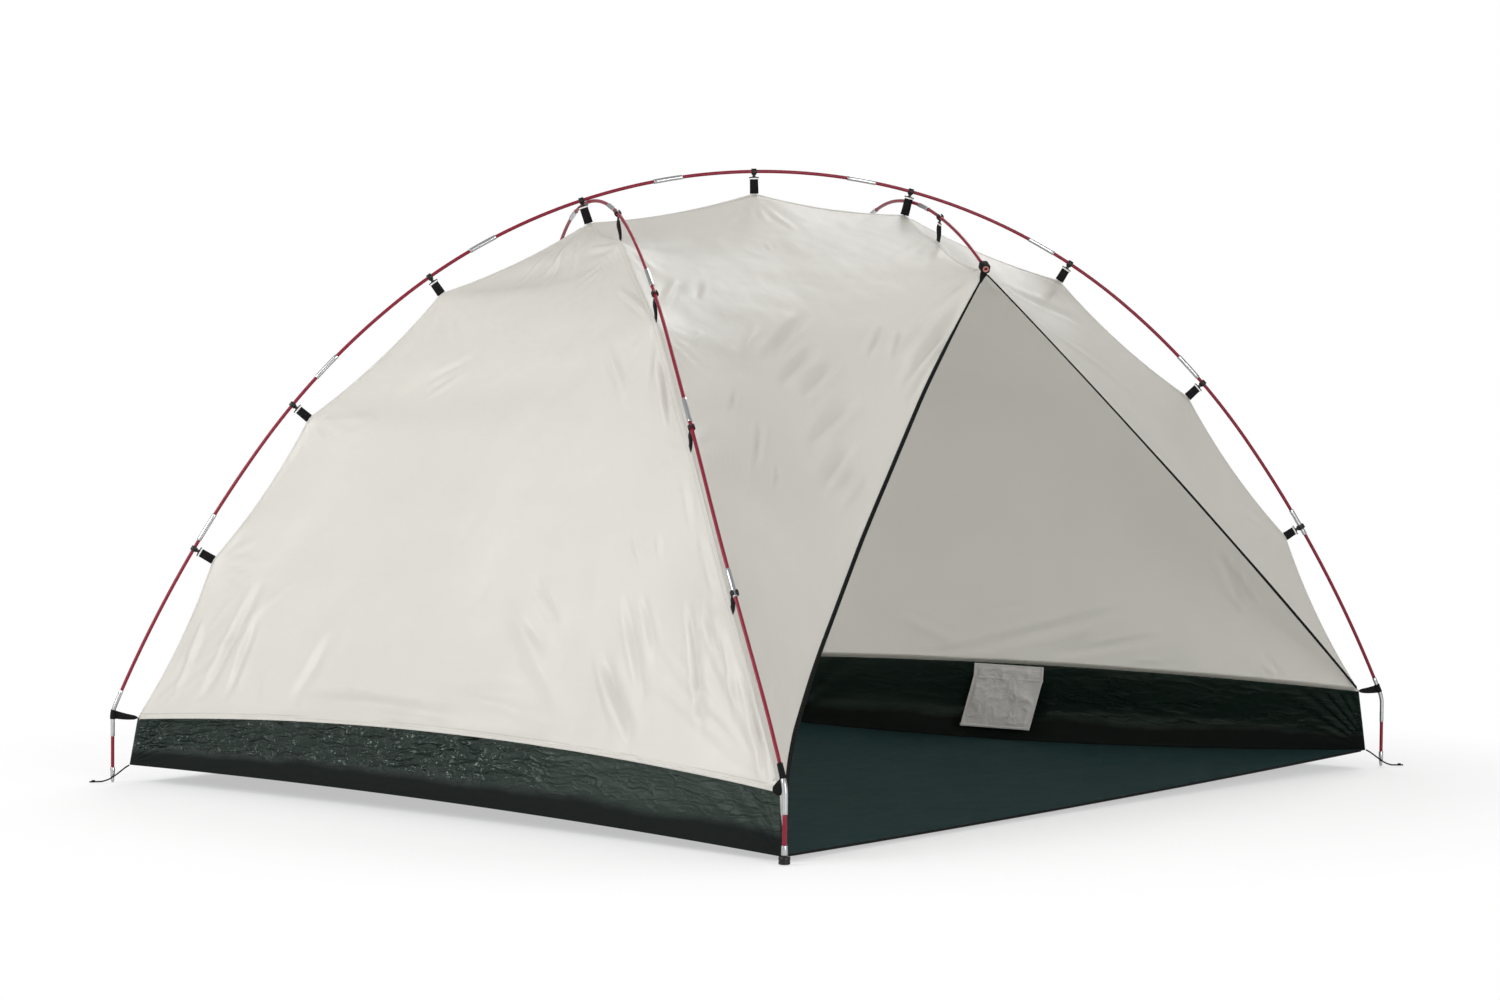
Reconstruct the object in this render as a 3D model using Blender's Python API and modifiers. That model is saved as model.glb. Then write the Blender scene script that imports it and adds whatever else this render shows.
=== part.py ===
"""Beach tent: three jointed fibreglass poles, a canopy clipped below them and a tub floor.

Metres, +Z up. The origin is on the ground, midway between the two feet of the long arch, which
stands in the XZ plane. -Y is the front, where the entrance faces right.
"""

import math

import bmesh
import bpy
import numpy as np
from mathutils import Matrix, Vector

# Pole sizes
SECTION = 0.400
ROD_RADIUS = 0.0035
FIT_GAP = 0.0003
SLEEVE_WALL = 0.0009
SLEEVE_RADIUS = ROD_RADIUS + FIT_GAP + SLEEVE_WALL
SLEEVE_LENGTH = 0.060
CUT_OVERRUN = 0.004
LEG_HEIGHT = 0.142
POLE_SIDES_RESOLUTION = 2
PLUG_SIDES_RESOLUTION = 4
ROUTE_STEPS_PER_SECTION = 40
ROD_STEPS_PER_SECTION = 12

# Pole shapes: each section's length as a share of SECTION, its slope and its heading in degrees.
# A heading of 0 runs towards +Y, and 90 towards +X.
ARCH_SECTION_SHARES = (1.028, 1, 1, 1, 1, 1, 1, 1, 1.028)
ARCH_SLOPES = (63.03, 54.17, 38.68, 19.27, 0, -19.27, -38.68, -54.17, -63.03)
ARCH_HEADINGS = (90,) * 9
FRONT_SECTION_SHARES = (1.02, 1, 1, 1, 1, 1.14, 1.14, 1.14)
FRONT_SLOPES = (59.5, 49.1, 36.8, 19.1, -3.1, -26.8, -50.7, -74.4)
FRONT_HEADINGS = (-19.6, -7.7, -2.5, -1.3, -2.4, 1.5, 8.6, 16.4)
PORCH_SECTION_SHARES = (1, 1, 1.1, 1.1, 1.1)
PORCH_SLOPES = (16.4, -2.3, -26.4, -55.0, -86.0)
PORCH_HEADINGS = (-6.6, -2.4, -2.8, -5.1, -7.4)

# Where the poles cross, as shares of each pole's length from its first end
ARCH_AT_FRONT_SHARE = 0.3983
FRONT_AT_ARCH_SHARE = 0.5479
ARCH_AT_PORCH_SHARE = 0.5859
PORCH_AT_ARCH_SHARE = 0.2236
PORCH_CROSSING_DROP = 0.0213

# Steel elbows, legs and feet
ELBOW_WALL = 0.0010
ELBOW_RADIUS = ROD_RADIUS + FIT_GAP + ELBOW_WALL
ELBOW_UPPER_ARM = 0.045
ELBOW_LOWER_ARM = 0.050
ELBOW_BEND_REACH = 0.008
PLUG_DEPTH = 0.020
TIP_LENGTH = 0.012
TIP_RADIUS = 0.0034
TIP_SLEEVE_LENGTH = 0.018
FOOT_CAP_RADIUS = 0.011
FOOT_CAP_LENGTH = 0.016

# Clips: their places as shares of the pole, and the reach from pole to cloth
CLIP_WIDTH = 0.014
CLIP_WALL = 0.0026
CLIP_GAP = 0.0005
CLIP_CLOTH_GAP = 0.0008
CLIP_STRAP_THICKNESS = 0.0014
CLIP_MOUTH_DEGREES = 70
ARCH_CLIP_REACH = 0.045
ARCH_CLIP_SHARES = (0.0998, 0.1958, 0.2996, 0.3946, 0.4936, 0.5841, 0.6850, 0.7887, 0.8897)
ARCH_CLIP_REACH_SHARES = (1.0, 0.96, 0.92, 1.07, 1.0, 1.11, 0.92, 0.95, 0.86)
FRONT_CLIP_REACH = 0.060
FRONT_CLIP_SHARES = (0.1144, 0.2264, 0.3408, 0.4585)
FRONT_CLIP_REACH_SHARES = (1.1, 1.0, 1.0, 0.9)
FRONT_CLIP_LEANS = (17, 9, 8, 8)
FRONT_REAR_CLIP_SHARES = (0.640, 0.760, 0.880)
PORCH_CLIP_REACH = 0.050
PORCH_CLIP_SHARE = 0.1376
PORCH_REAR_CLIP_SHARES = (0.45, 0.64, 0.83)
PORCH_END_DROP = 0.008
CROSSING_LEFT_CLIP = 3
CROSSING_RIGHT_CLIP = 5
APEX_CLIP = 4

# Canopy and tub
CLOTH_THICKNESS = 0.0012
SEAM_GAP = 0.0012
RIDGE_GAPS = {"left_ridge": 0.0026, "top_ridge": 0.0022, "right_ridge": 0.0026,
              "front_ridge": 0.0036, "rear_left_ridge": 0.0022, "rear_right_ridge": 0.0022,
              "porch_seam": 0.0022}
BINDING_GAP = 0.0003
PANEL_TIP_SETBACK = 0.006
ENTRANCE_TIP_SETBACK = 0.022
ENTRANCE_FOOT_LIFT = 0.012
ENTRANCE_FOOT_SETBACK = 0.007
SCALLOP_SHARE = 0.032
# The fan of folds from the front corner: their count, height and reach
FRONT_FOLDS = (5, 0.010, 0.45)
ENTRANCE_DRAW = 0.056
ENTRANCE_RIGHT_DRAW = 0.011
ENTRANCE_DRAW_SHARES = ((0, 0), (0.1, 0.3), (0.23, 0.6), (0.5, 0.92), (0.72, 1), (0.84, 0.87),
                        (0.9, 0.62), (1, 0))
ENTRANCE_POINT_SHARES = (0, 0.1, 0.21, 0.33, 0.45, 0.57, 0.68, 0.78, 0.86, 0.92, 0.965, 1)
PORCH_SEAM_POINTS = 5
PANEL_ROWS = len(ENTRANCE_POINT_SHARES) + PORCH_SEAM_POINTS - 1
PANEL_COLUMNS = 11
LEFT_PANEL_COLUMNS = 2 * PANEL_COLUMNS - 1
BINDING_RADIUS = 0.0020
POLE_POCKET_RADIUS = 0.0075
POLE_POCKET_LENGTH = 0.034
# How far the pocket's closed tip reaches past the pole's end, as a share of its radius
POLE_POCKET_TIP_SHARE = 1.6
PEAK_SETBACK = 0.014
TUB_CORNER_REACH = 0.050
# How far each corner of the tub's seam lies below the elbows' height
TUB_CORNER_DROPS = {"left": 0.014, "front": 0.016, "right": -0.014, "rear_right": -0.008,
                    "rear_left": -0.008}
TUB_SEAM_RISES = {"left": 0.040, "rear_right": 0.014, "rear": 0.020, "rear_left": 0.034}
FLOOR_CORNER_REACH = 0.034
FLOOR_FRONT_CORNER_REACH = 0.026
FLOOR_CORNER_HEIGHTS = {"left": 0.034, "front": 0.010, "right": 0.033, "rear_right": 0.003,
                        "rear_left": 0.003}
FLOOR_EDGE_LIFTS = {"left": 0.010, "threshold": -0.012, "rear_right": -0.016, "rear": 0.0,
                    "rear_left": 0.004}
FLOOR_EDGE_DRAW_SHARE = 0.012
FLOOR_RING_SHARES = (0.42, 0.76, 0.92)
TUB_WALL_BELLY = 0.010
WALL_END_GAP = 0.003
TUB_COLUMNS = PANEL_COLUMNS - 1

# Webbing at the corners
CORNER_STRAP_WIDTH = 0.014
CORNER_STRAP_WALL = 0.0016
CORNER_STRAP_GAP = 0.001

# Pocket that hangs inside from the rear right seam
POCKET_WIDTH = 0.170
POCKET_DROP = 0.136
POCKET_DEPTH = 0.006
POCKET_PLACE_SHARE = 0.60
POCKET_THICKNESS = 0.003
POCKET_TOP_DROP = 0.004
POCKET_LEAN = 0.014

# Foot cords at the two ends of the arch, from the tub's corner round the leg to a loose tail
CORD_RADIUS = 0.0015
LEFT_CORD_ROUTE = ((-1.2798, -0.0006, 0.0338), (-1.2875, -0.0030, 0.0295),
                   (-1.2965, -0.0058, 0.0230), (-1.3050, -0.0072, 0.0165),
                   (-1.3125, -0.0074, 0.0115), (-1.3190, -0.0070, 0.0075),
                   (-1.3270, -0.0060, 0.0042), (-1.3350, -0.0045, 0.0021),
                   (-1.3430, -0.0040, 0.0019), (-1.3510, -0.0045, 0.0019),
                   (-1.3590, -0.0060, 0.0019))

# Colours: base colour, roughness, metallic
FINISHES = {
    "cloth": ((0.80, 0.77, 0.71), 0.75, 0.0),
    "tub": ((0.045, 0.075, 0.068), 0.45, 0.0),
    "rod": ((0.45, 0.03, 0.07), 0.35, 0.0),
    "steel": ((0.72, 0.73, 0.74), 0.3, 1.0),
    "webbing": ((0.015, 0.015, 0.017), 0.8, 0.0),
    "clip": ((0.02, 0.02, 0.022), 0.5, 0.0),
    "pocket": ((0.62, 0.62, 0.60), 0.8, 0.0),
}

DOWN = np.array((0.0, 0.0, -1.0))


def unit(vector):
    return vector / np.linalg.norm(vector)


class Route:
    """A smooth line in space, read by its length from the first end."""

    def __init__(self, points):
        self.points = np.array(points, float)
        steps = np.linalg.norm(np.diff(self.points, axis=0), axis=1)
        self.lengths = np.concatenate(([0.0], np.cumsum(steps)))
        self.length = self.lengths[-1]

    def at(self, along):
        return np.array([np.interp(along, self.lengths, self.points[:, i]) for i in range(3)])

    def tangent(self, along):
        reach = self.length / len(self.points)
        low, high = max(along - reach, 0), min(along + reach, self.length)
        return unit(self.at(high) - self.at(low))

    def between(self, start, stop, step):
        count = max(2, round((stop - start) / step) + 1)
        return [self.at(along) for along in np.linspace(start, stop, count)]

    def inward(self, along, lean=0.0):
        """The direction square to the line that leads down into the tent, leaning to its right."""
        tangent = self.tangent(along)
        down = unit(DOWN - DOWN.dot(tangent) * tangent)
        lean = math.radians(lean)
        return math.cos(lean) * down + math.sin(lean) * np.cross(down, tangent)

    def moved(self, offset):
        return Route(self.points + offset)


def heading_vector(slope, heading):
    slope, heading = math.radians(slope), math.radians(heading)
    level = math.cos(slope)
    return np.array((level * math.sin(heading), level * math.cos(heading), math.sin(slope)))


def bent_pole(section_shares, slopes, headings):
    """A pole whose direction turns evenly from each section's middle to the next one's."""
    points = [np.zeros(3)]
    count = len(slopes)
    for index in range(count):
        before, after = max(index - 1, 0), min(index + 1, count - 1)
        step = SECTION * section_shares[index] / ROUTE_STEPS_PER_SECTION
        for part in range(ROUTE_STEPS_PER_SECTION):
            turn = (part + 0.5) / ROUTE_STEPS_PER_SECTION - 0.5
            other = after if turn > 0 else before
            slope, heading = (
                table[index] + abs(turn) * (table[other] - table[index])
                for table in (slopes, headings)
            )
            if other == index:
                mirror = before if turn > 0 else after
                slope -= abs(turn) * (slopes[mirror] - slopes[index])
            points.append(points[-1] + step * heading_vector(slope, heading))
    return Route(points)


def crossing_pole(route, share, under, drop):
    """Moves a pole so that its point at a share of its length lies a drop below another's."""
    return route.moved(under + drop * DOWN - route.at(share * route.length))


ARCH = bent_pole(ARCH_SECTION_SHARES, ARCH_SLOPES, ARCH_HEADINGS)
ARCH = ARCH.moved(np.array((-ARCH.at(ARCH.length)[0] / 2, 0, LEG_HEIGHT)))
FRONT = crossing_pole(
    bent_pole(FRONT_SECTION_SHARES, FRONT_SLOPES, FRONT_HEADINGS),
    FRONT_AT_ARCH_SHARE,
    ARCH.at(ARCH_AT_FRONT_SHARE * ARCH.length),
    2 * ROD_RADIUS + 2 * FIT_GAP,
)
PORCH = crossing_pole(
    bent_pole(PORCH_SECTION_SHARES, PORCH_SLOPES, PORCH_HEADINGS),
    PORCH_AT_ARCH_SHARE,
    ARCH.at(ARCH_AT_PORCH_SHARE * ARCH.length),
    PORCH_CROSSING_DROP,
)

def foot_frame(route, end, inside):
    """The pole's bent end, the direction along the pole away from it and the way inside."""
    arm = ELBOW_UPPER_ARM if end == 0 else route.length - ELBOW_UPPER_ARM
    bend = route.at(end)
    return bend, unit(route.at(arm) - bend), np.array(inside)


FEET = {
    "left": foot_frame(ARCH, 0, (1.0, 0.0, 0.0)),
    "front": foot_frame(FRONT, 0, (0.0, 1.0, 0.0)),
    "right": foot_frame(ARCH, ARCH.length, (-1.0, 0.0, 0.0)),
    "rear_right": foot_frame(PORCH, PORCH.length, (0.0, -1.0, 0.0)),
    "rear_left": foot_frame(FRONT, FRONT.length, (0.0, -1.0, 0.0)),
}
# Each clip: its share of the pole, its reach from the pole and its lean in degrees
ARCH_CLIPS = [
    (share, ARCH_CLIP_REACH * reach, 0.0)
    for share, reach in zip(ARCH_CLIP_SHARES, ARCH_CLIP_REACH_SHARES)
]
FRONT_CLIPS = [
    (share, FRONT_CLIP_REACH * reach, lean)
    for share, reach, lean in zip(FRONT_CLIP_SHARES, FRONT_CLIP_REACH_SHARES, FRONT_CLIP_LEANS)
]
PORCH_CLIP = (PORCH_CLIP_SHARE, PORCH_CLIP_REACH, 0.0)
CORNERS = ("left", "front", "right", "rear_right", "rear_left")
SIDES = ("left", "threshold", "rear_right", "rear", "rear_left")


def clear_scene():
    for thing in list(bpy.data.objects):
        bpy.data.objects.remove(thing, do_unlink=True)


def new_collection(name):
    collection = bpy.data.collections.new(name)
    bpy.context.scene.collection.children.link(collection)
    return collection


def finish_material(finish):
    """The material of a finish, made once."""
    material = bpy.data.materials.get(finish)
    if material:
        return material
    colour, roughness, metallic = FINISHES[finish]
    material = bpy.data.materials.new(finish)
    material.use_nodes = True
    shader = material.node_tree.nodes["Principled BSDF"]
    shader.inputs["Base Color"].default_value = (*colour, 1)
    shader.inputs["Roughness"].default_value = roughness
    shader.inputs["Metallic"].default_value = metallic
    material.diffuse_color = (*colour, 1)
    return material


def place(name, data, collection, finish=None):
    thing = bpy.data.objects.new(name, data)
    collection.objects.link(thing)
    if finish:
        data.materials.append(finish_material(finish))
    return thing


def tube(name, points, radii, collection, finish=None, resolution=POLE_SIDES_RESOLUTION):
    """A solid rod along the points, each with its own radius."""
    curve = bpy.data.curves.new(name, "CURVE")
    curve.dimensions = "3D"
    curve.bevel_depth = 1.0
    curve.bevel_resolution = resolution
    curve.use_fill_caps = True
    spline = curve.splines.new("POLY")
    spline.points.add(len(points) - 1)
    for knot, point, radius in zip(spline.points, points, radii):
        knot.co = (*point, 1)
        knot.radius = radius
    return place(name, curve, collection, finish)


def bore_radius(resolution):
    """The radius that keeps the whole gap round a rod at the middle of each of a bore's faces."""
    return (ROD_RADIUS + FIT_GAP) / math.cos(math.pi / (4 + 2 * resolution))


def as_mesh(thing):
    """Turns a curve object into a mesh object with its caps welded on."""
    bpy.context.view_layer.update()
    graph = bpy.context.evaluated_depsgraph_get()
    mesh = bpy.data.meshes.new_from_object(thing.evaluated_get(graph))
    build = bmesh.new()
    build.from_mesh(mesh)
    bmesh.ops.remove_doubles(build, verts=build.verts, dist=FIT_GAP / 10)
    build.to_mesh(mesh)
    build.free()
    name, matrix = thing.name, thing.matrix_world.copy()
    collection = thing.users_collection[0]
    bpy.data.objects.remove(thing, do_unlink=True)
    solid = bpy.data.objects.new(name, mesh)
    solid.matrix_world = matrix
    collection.objects.link(solid)
    return solid


def combine(solid, tool, operation):
    """Cuts the tool out of the solid, or joins it on, and hides the tool."""
    tool.hide_render = True
    tool.display_type = "WIRE"
    boolean = solid.modifiers.new(operation.title(), "BOOLEAN")
    boolean.operation = operation
    boolean.solver = "EXACT"
    boolean.object = tool


def smooth(thing, degrees=40):
    mesh = thing.data
    mesh.shade_smooth()
    mesh.set_sharp_from_angle(angle=math.radians(degrees))


def make_pole(name, route, section_shares, start_trim, stop_trim, parts, cutters):
    """One node for each rod. A rod carries the sleeve that takes the next rod's end."""
    joints = np.cumsum([SECTION * share for share in section_shares])
    half = SLEEVE_LENGTH / 2
    step = SECTION / ROD_STEPS_PER_SECTION
    start = start_trim
    for index, end in enumerate(joints):
        node = f"{name}_section_{index + 1}"
        last = index == len(joints) - 1
        if last:
            points = route.between(start, route.length - stop_trim, step)
            tube(node, points, [ROD_RADIUS] * len(points), parts, "rod")
            return
        rod = route.between(start, end - half, step)
        sleeve = route.between(end - half + FIT_GAP, end + half, half / 2)
        radii = [ROD_RADIUS] * len(rod) + [SLEEVE_RADIUS] * len(sleeve)
        solid = as_mesh(tube(node, rod + sleeve, radii, parts, "rod"))
        socket = route.between(end, end + half + CUT_OVERRUN, half / 2)
        bore = [bore_radius(POLE_SIDES_RESOLUTION)] * len(socket)
        combine(solid, as_mesh(tube(f"{node}_socket", socket, bore, cutters)), "DIFFERENCE")
        smooth(solid)
        start = end + FIT_GAP


def elbow_line(foot, extra=0.0):
    """The bent centre line of an elbow, from its upper mouth to its lower mouth."""
    bend, along, _ = FEET[foot]
    upper, lower = -along, DOWN
    line = [bend - upper * (ELBOW_UPPER_ARM + extra)]
    for share in np.linspace(0, 1, 4):
        from_upper = bend - upper * ELBOW_BEND_REACH * (1 - share)
        to_lower = bend + lower * ELBOW_BEND_REACH * share
        line.append(from_upper * (1 - share) + to_lower * share)
    line.append(bend + lower * (ELBOW_LOWER_ARM + extra))
    return line


def make_elbow(foot, parts, cutters):
    name = f"elbow_{foot}"
    line, cut = elbow_line(foot), elbow_line(foot, CUT_OVERRUN)
    solid = as_mesh(
        tube(name, line, [ELBOW_RADIUS] * len(line), parts, "steel", PLUG_SIDES_RESOLUTION)
    )
    radii = [bore_radius(PLUG_SIDES_RESOLUTION)] * len(cut)
    bore = tube(f"{name}_bore", cut, radii, cutters, None, PLUG_SIDES_RESOLUTION)
    combine(solid, as_mesh(bore), "DIFFERENCE")
    smooth(solid)


def make_leg(foot, parts):
    """A rod from inside the elbow down to the ground, with its tip sleeve or its foot cap."""
    bend = FEET[foot][0]
    top = bend[2] - ELBOW_LOWER_ARM + PLUG_DEPTH
    capped = foot == "front"
    end_length = FOOT_CAP_LENGTH if capped else TIP_LENGTH
    end_radius = FOOT_CAP_RADIUS if capped else TIP_RADIUS
    sleeve_top = end_length + TIP_SLEEVE_LENGTH
    profile = (
        (top, ROD_RADIUS), (sleeve_top + FIT_GAP, ROD_RADIUS), (sleeve_top, SLEEVE_RADIUS),
        (end_length + FIT_GAP, SLEEVE_RADIUS), (end_length, end_radius), (0, end_radius),
    )
    points = [(bend[0], bend[1], height) for height, _ in profile]
    radii = [radius for _, radius in profile]
    tube(f"leg_{foot}", points, radii, parts, "rod", PLUG_SIDES_RESOLUTION)


def arc(radius, first, last, count):
    """Points of an arc about the origin, in degrees from +X."""
    angles = np.radians(np.linspace(first, last, count))
    return [(radius * math.cos(angle), radius * math.sin(angle)) for angle in angles]


def outline(name, loops, thickness, collection, finish):
    """A flat outline in its own XY plane, given its thickness along Z."""
    curve = bpy.data.curves.new(name, "CURVE")
    curve.dimensions = "2D"
    curve.fill_mode = "BOTH"
    curve.extrude = thickness / 2
    for loop in loops:
        spline = curve.splines.new("POLY")
        spline.points.add(len(loop) - 1)
        for knot, (x, y) in zip(spline.points, loop):
            knot.co = (x, y, 0, 1)
        spline.use_cyclic_u = True
    return place(name, curve, collection, finish)


def stand_at(thing, point, normal, strap_way):
    """Puts the outline's centre at the point, its Z along normal and its -Y along the strap."""
    z_axis = Vector(unit(normal))
    y_axis = -Vector(unit(strap_way))
    x_axis = y_axis.cross(z_axis).normalized()
    turn = Matrix((x_axis, y_axis, z_axis)).transposed()
    thing.matrix_world = Matrix.Translation(Vector(point)) @ turn.to_4x4()


def make_clip(name, route, place_on_pole, sleeves, parts):
    """A hook round the pole, open on top, with the webbing tab that holds the cloth."""
    share, reach, lean = place_on_pole
    along = share * route.length
    near = min(abs(along - sleeve) for sleeve in sleeves)
    on_sleeve = near < SLEEVE_LENGTH / 2 + CLIP_WIDTH / 2
    bore = (SLEEVE_RADIUS if on_sleeve else ROD_RADIUS) + CLIP_GAP
    outer = bore + CLIP_WALL
    half_mouth = CLIP_MOUTH_DEGREES / 2
    tab = CLIP_STRAP_THICKNESS / 2
    tab_angle = math.degrees(math.asin(tab / outer))
    loop = arc(bore, 90 + half_mouth, 450 - half_mouth, 17)
    loop += arc(outer, 90 - half_mouth, -90 + tab_angle, 9)
    loop += [(tab, CLIP_CLOTH_GAP - reach), (-tab, CLIP_CLOTH_GAP - reach)]
    loop += arc(outer, 270 - tab_angle, 90 + half_mouth, 9)
    clip = outline(name, [loop], CLIP_WIDTH, parts, "clip")
    stand_at(clip, route.at(along), route.tangent(along), route.inward(along, lean))


def clip_point(route, share, reach, lean=0.0):
    along = share * route.length
    return route.at(along) + reach * route.inward(along, lean)


def make_corner_strap(foot, parts):
    """A webbing loop square round the elbow that draws the tub's top corner out to the pole."""
    bend, along, inside = FEET[foot]
    target = seam_corner(foot) - inside * CORNER_STRAP_GAP - DOWN * CORNER_STRAP_GAP
    lowest = ELBOW_BEND_REACH + CORNER_STRAP_WIDTH / 2 + FIT_GAP
    middle = bend + along * max(along.dot(target - bend), lowest)
    way = target - middle - along * along.dot(target - middle)
    bore = (ELBOW_RADIUS + FIT_GAP) / math.cos(math.radians(7.5))
    outer = bore + CORNER_STRAP_WALL
    tab = CORNER_STRAP_WALL
    tab_angle = math.degrees(math.asin(tab / outer))
    end = -np.linalg.norm(way)
    loop = arc(outer, 270 - tab_angle, -90 + tab_angle, 21) + [(tab, end), (-tab, end)]
    strap = outline(
        f"corner_strap_{foot}", [loop, arc(bore, 0, 345, 24)], CORNER_STRAP_WIDTH, parts, "webbing"
    )
    stand_at(strap, middle, along, way)


def seam_corner(foot):
    """The tub's top corner, where its seam meets the corner strap."""
    bend, _, inside = FEET[foot]
    corner = bend + inside * TUB_CORNER_REACH
    corner[2] = LEG_HEIGHT - TUB_CORNER_DROPS[foot]
    return corner


def floor_corner(foot):
    bend, _, inside = FEET[foot]
    reach = FLOOR_FRONT_CORNER_REACH if foot == "front" else FLOOR_CORNER_REACH
    corner = bend + inside * reach
    corner[2] = FLOOR_CORNER_HEIGHTS[foot]
    return corner


def bowed(start, end, count, way, depth):
    """Points from start to end that bow by a depth along a direction."""
    shares = np.linspace(0, 1, count)[:, None]
    return start * (1 - shares) + end * shares + 4 * shares * (1 - shares) * depth * way


def side_ends(side):
    index = SIDES.index(side)
    return CORNERS[index], CORNERS[(index + 1) % len(CORNERS)]


def seam_line(side, count):
    """The seam between the tub's wall and the canopy, bowed up between its corners."""
    first, second = side_ends(side)
    return bowed(seam_corner(first), seam_corner(second), count, -DOWN, TUB_SEAM_RISES[side])


def floor_edge(side, count):
    """The floor's edge, drawn in a little and lifted between its corners."""
    first, second = (floor_corner(foot) for foot in side_ends(side))
    chord = second - first
    inside = unit(np.cross(-DOWN, chord))
    draw = inside * np.linalg.norm(chord) * FLOOR_EDGE_DRAW_SHARE
    line = bowed(first, second, count, draw, 1.0)
    return line + 4 * FLOOR_EDGE_LIFTS[side] * np.outer(
        np.linspace(0, 1, count) * (1 - np.linspace(0, 1, count)), -DOWN
    )


def scalloped(knots, count):
    """A cloth edge of that many points, held at the knots and drawn in between them."""
    middle = np.array((0, 0, LEG_HEIGHT))
    line = [knots[0]]
    steps = [len(share) for share in np.array_split(range(count - 1), len(knots) - 1)]
    for first, second, points in zip(knots, knots[1:], steps):
        chord = second - first
        inward = middle - (first + second) / 2
        inward = unit(inward - inward.dot(unit(chord)) * unit(chord))
        depth = SCALLOP_SHARE * np.linalg.norm(chord)
        line.extend(bowed(first, second, points + 1, inward, depth)[1:])
    return np.array(line)


def coons(bottom, top, left, right):
    """A surface between four edge lines. Bottom and top run from left to right."""
    across = np.linspace(0, 1, len(bottom))[None, :, None]
    up = np.linspace(0, 1, len(left))[:, None, None]
    ruled_up = bottom[None] * (1 - up) + top[None] * up
    ruled_across = left[:, None] * (1 - across) + right[:, None] * across
    corners = (
        bottom[0] * (1 - across) * (1 - up) + bottom[-1] * across * (1 - up)
        + top[0] * (1 - across) * up + top[-1] * across * up
    )
    return ruled_up + ruled_across - corners


def relaxed(grid, rounds=80):
    """Lets the surface settle like cloth drawn tight between its edges."""
    for _ in range(rounds):
        below, above = grid[:-2, 1:-1], grid[2:, 1:-1]
        before, after = grid[1:-1, :-2], grid[1:-1, 2:]
        tall = np.linalg.norm(above - below, axis=2, keepdims=True) ** 2
        wide = np.linalg.norm(after - before, axis=2, keepdims=True) ** 2
        wide = np.maximum(wide, CLOTH_THICKNESS**2)
        grid[1:-1, 1:-1] = (tall * (before + after) + wide * (below + above)) / (tall + wide) / 2
    return grid


def folded(grid, corner, folds):
    """Gives the panel the folds that fan out from a corner: their count, height and reach."""
    count, height, reach = folds
    along = grid[0, -2] - corner
    normal = unit(np.cross(grid[-1, 0] - corner, along))
    away = grid - corner
    distance = np.linalg.norm(away, axis=2)
    cosine = (away @ unit(along)) / np.maximum(distance, SEAM_GAP)
    angle = np.arccos(np.clip(cosine, -1, 1)) / math.acos(
        unit(along).dot(unit(grid[1, -1] - corner))
    )
    wave = np.sin(math.pi * count * angle) * np.sin(math.pi * np.clip(angle, 0, 1))
    fade = distance / reach * np.exp(1 - distance / reach)
    push = (height * wave * fade)[:, :, None] * normal
    grid[1:-1, 1:-1] += push[1:-1, 1:-1]
    return grid


def inset(grid, gaps, tip_setback=PANEL_TIP_SETBACK):
    """Draws the bottom, top, left and right edges in, square to each edge, by their own gaps.

    An edge that is a single point, a panel's tip, moves back along the panel instead.
    """
    moved = grid.copy()
    for gap, edge, neighbour in zip(
        gaps, (np.s_[0], np.s_[-1], np.s_[:, 0], np.s_[:, -1]),
        (np.s_[1], np.s_[-2], np.s_[:, 1], np.s_[:, -2]),
    ):
        line, way = grid[edge], grid[neighbour] - grid[edge]
        tangent = np.gradient(line, axis=0)
        length = np.linalg.norm(tangent, axis=1, keepdims=True)
        if length.min() == 0:
            moved[edge] += unit(way.mean(axis=0)) * tip_setback
            continue
        tangent /= length
        way -= tangent * (way * tangent).sum(axis=1, keepdims=True)
        length = np.linalg.norm(way, axis=1, keepdims=True)
        moved[edge] += gap * way / np.maximum(length, gap)
    return moved


def sheet(name, grid, parts, finish):
    """A cloth panel: the grid of points as an open surface, thickened by Solidify."""
    build = bmesh.new()
    rows = [[build.verts.new(point) for point in row] for row in grid]
    for low, high in zip(rows, rows[1:]):
        for column in range(len(low) - 1):
            build.faces.new((low[column], low[column + 1], high[column + 1], high[column]))
    bmesh.ops.recalc_face_normals(build, faces=build.faces)
    mesh = bpy.data.meshes.new(name)
    build.to_mesh(mesh)
    build.free()
    thing = place(name, mesh, parts, finish)
    thicken(thing, CLOTH_THICKNESS)
    mesh.shade_smooth()
    return thing


def thicken(thing, thickness):
    solid = thing.modifiers.new("Cloth", "SOLIDIFY")
    solid.thickness = thickness
    solid.offset = 0
    solid.use_even_offset = True


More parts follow.
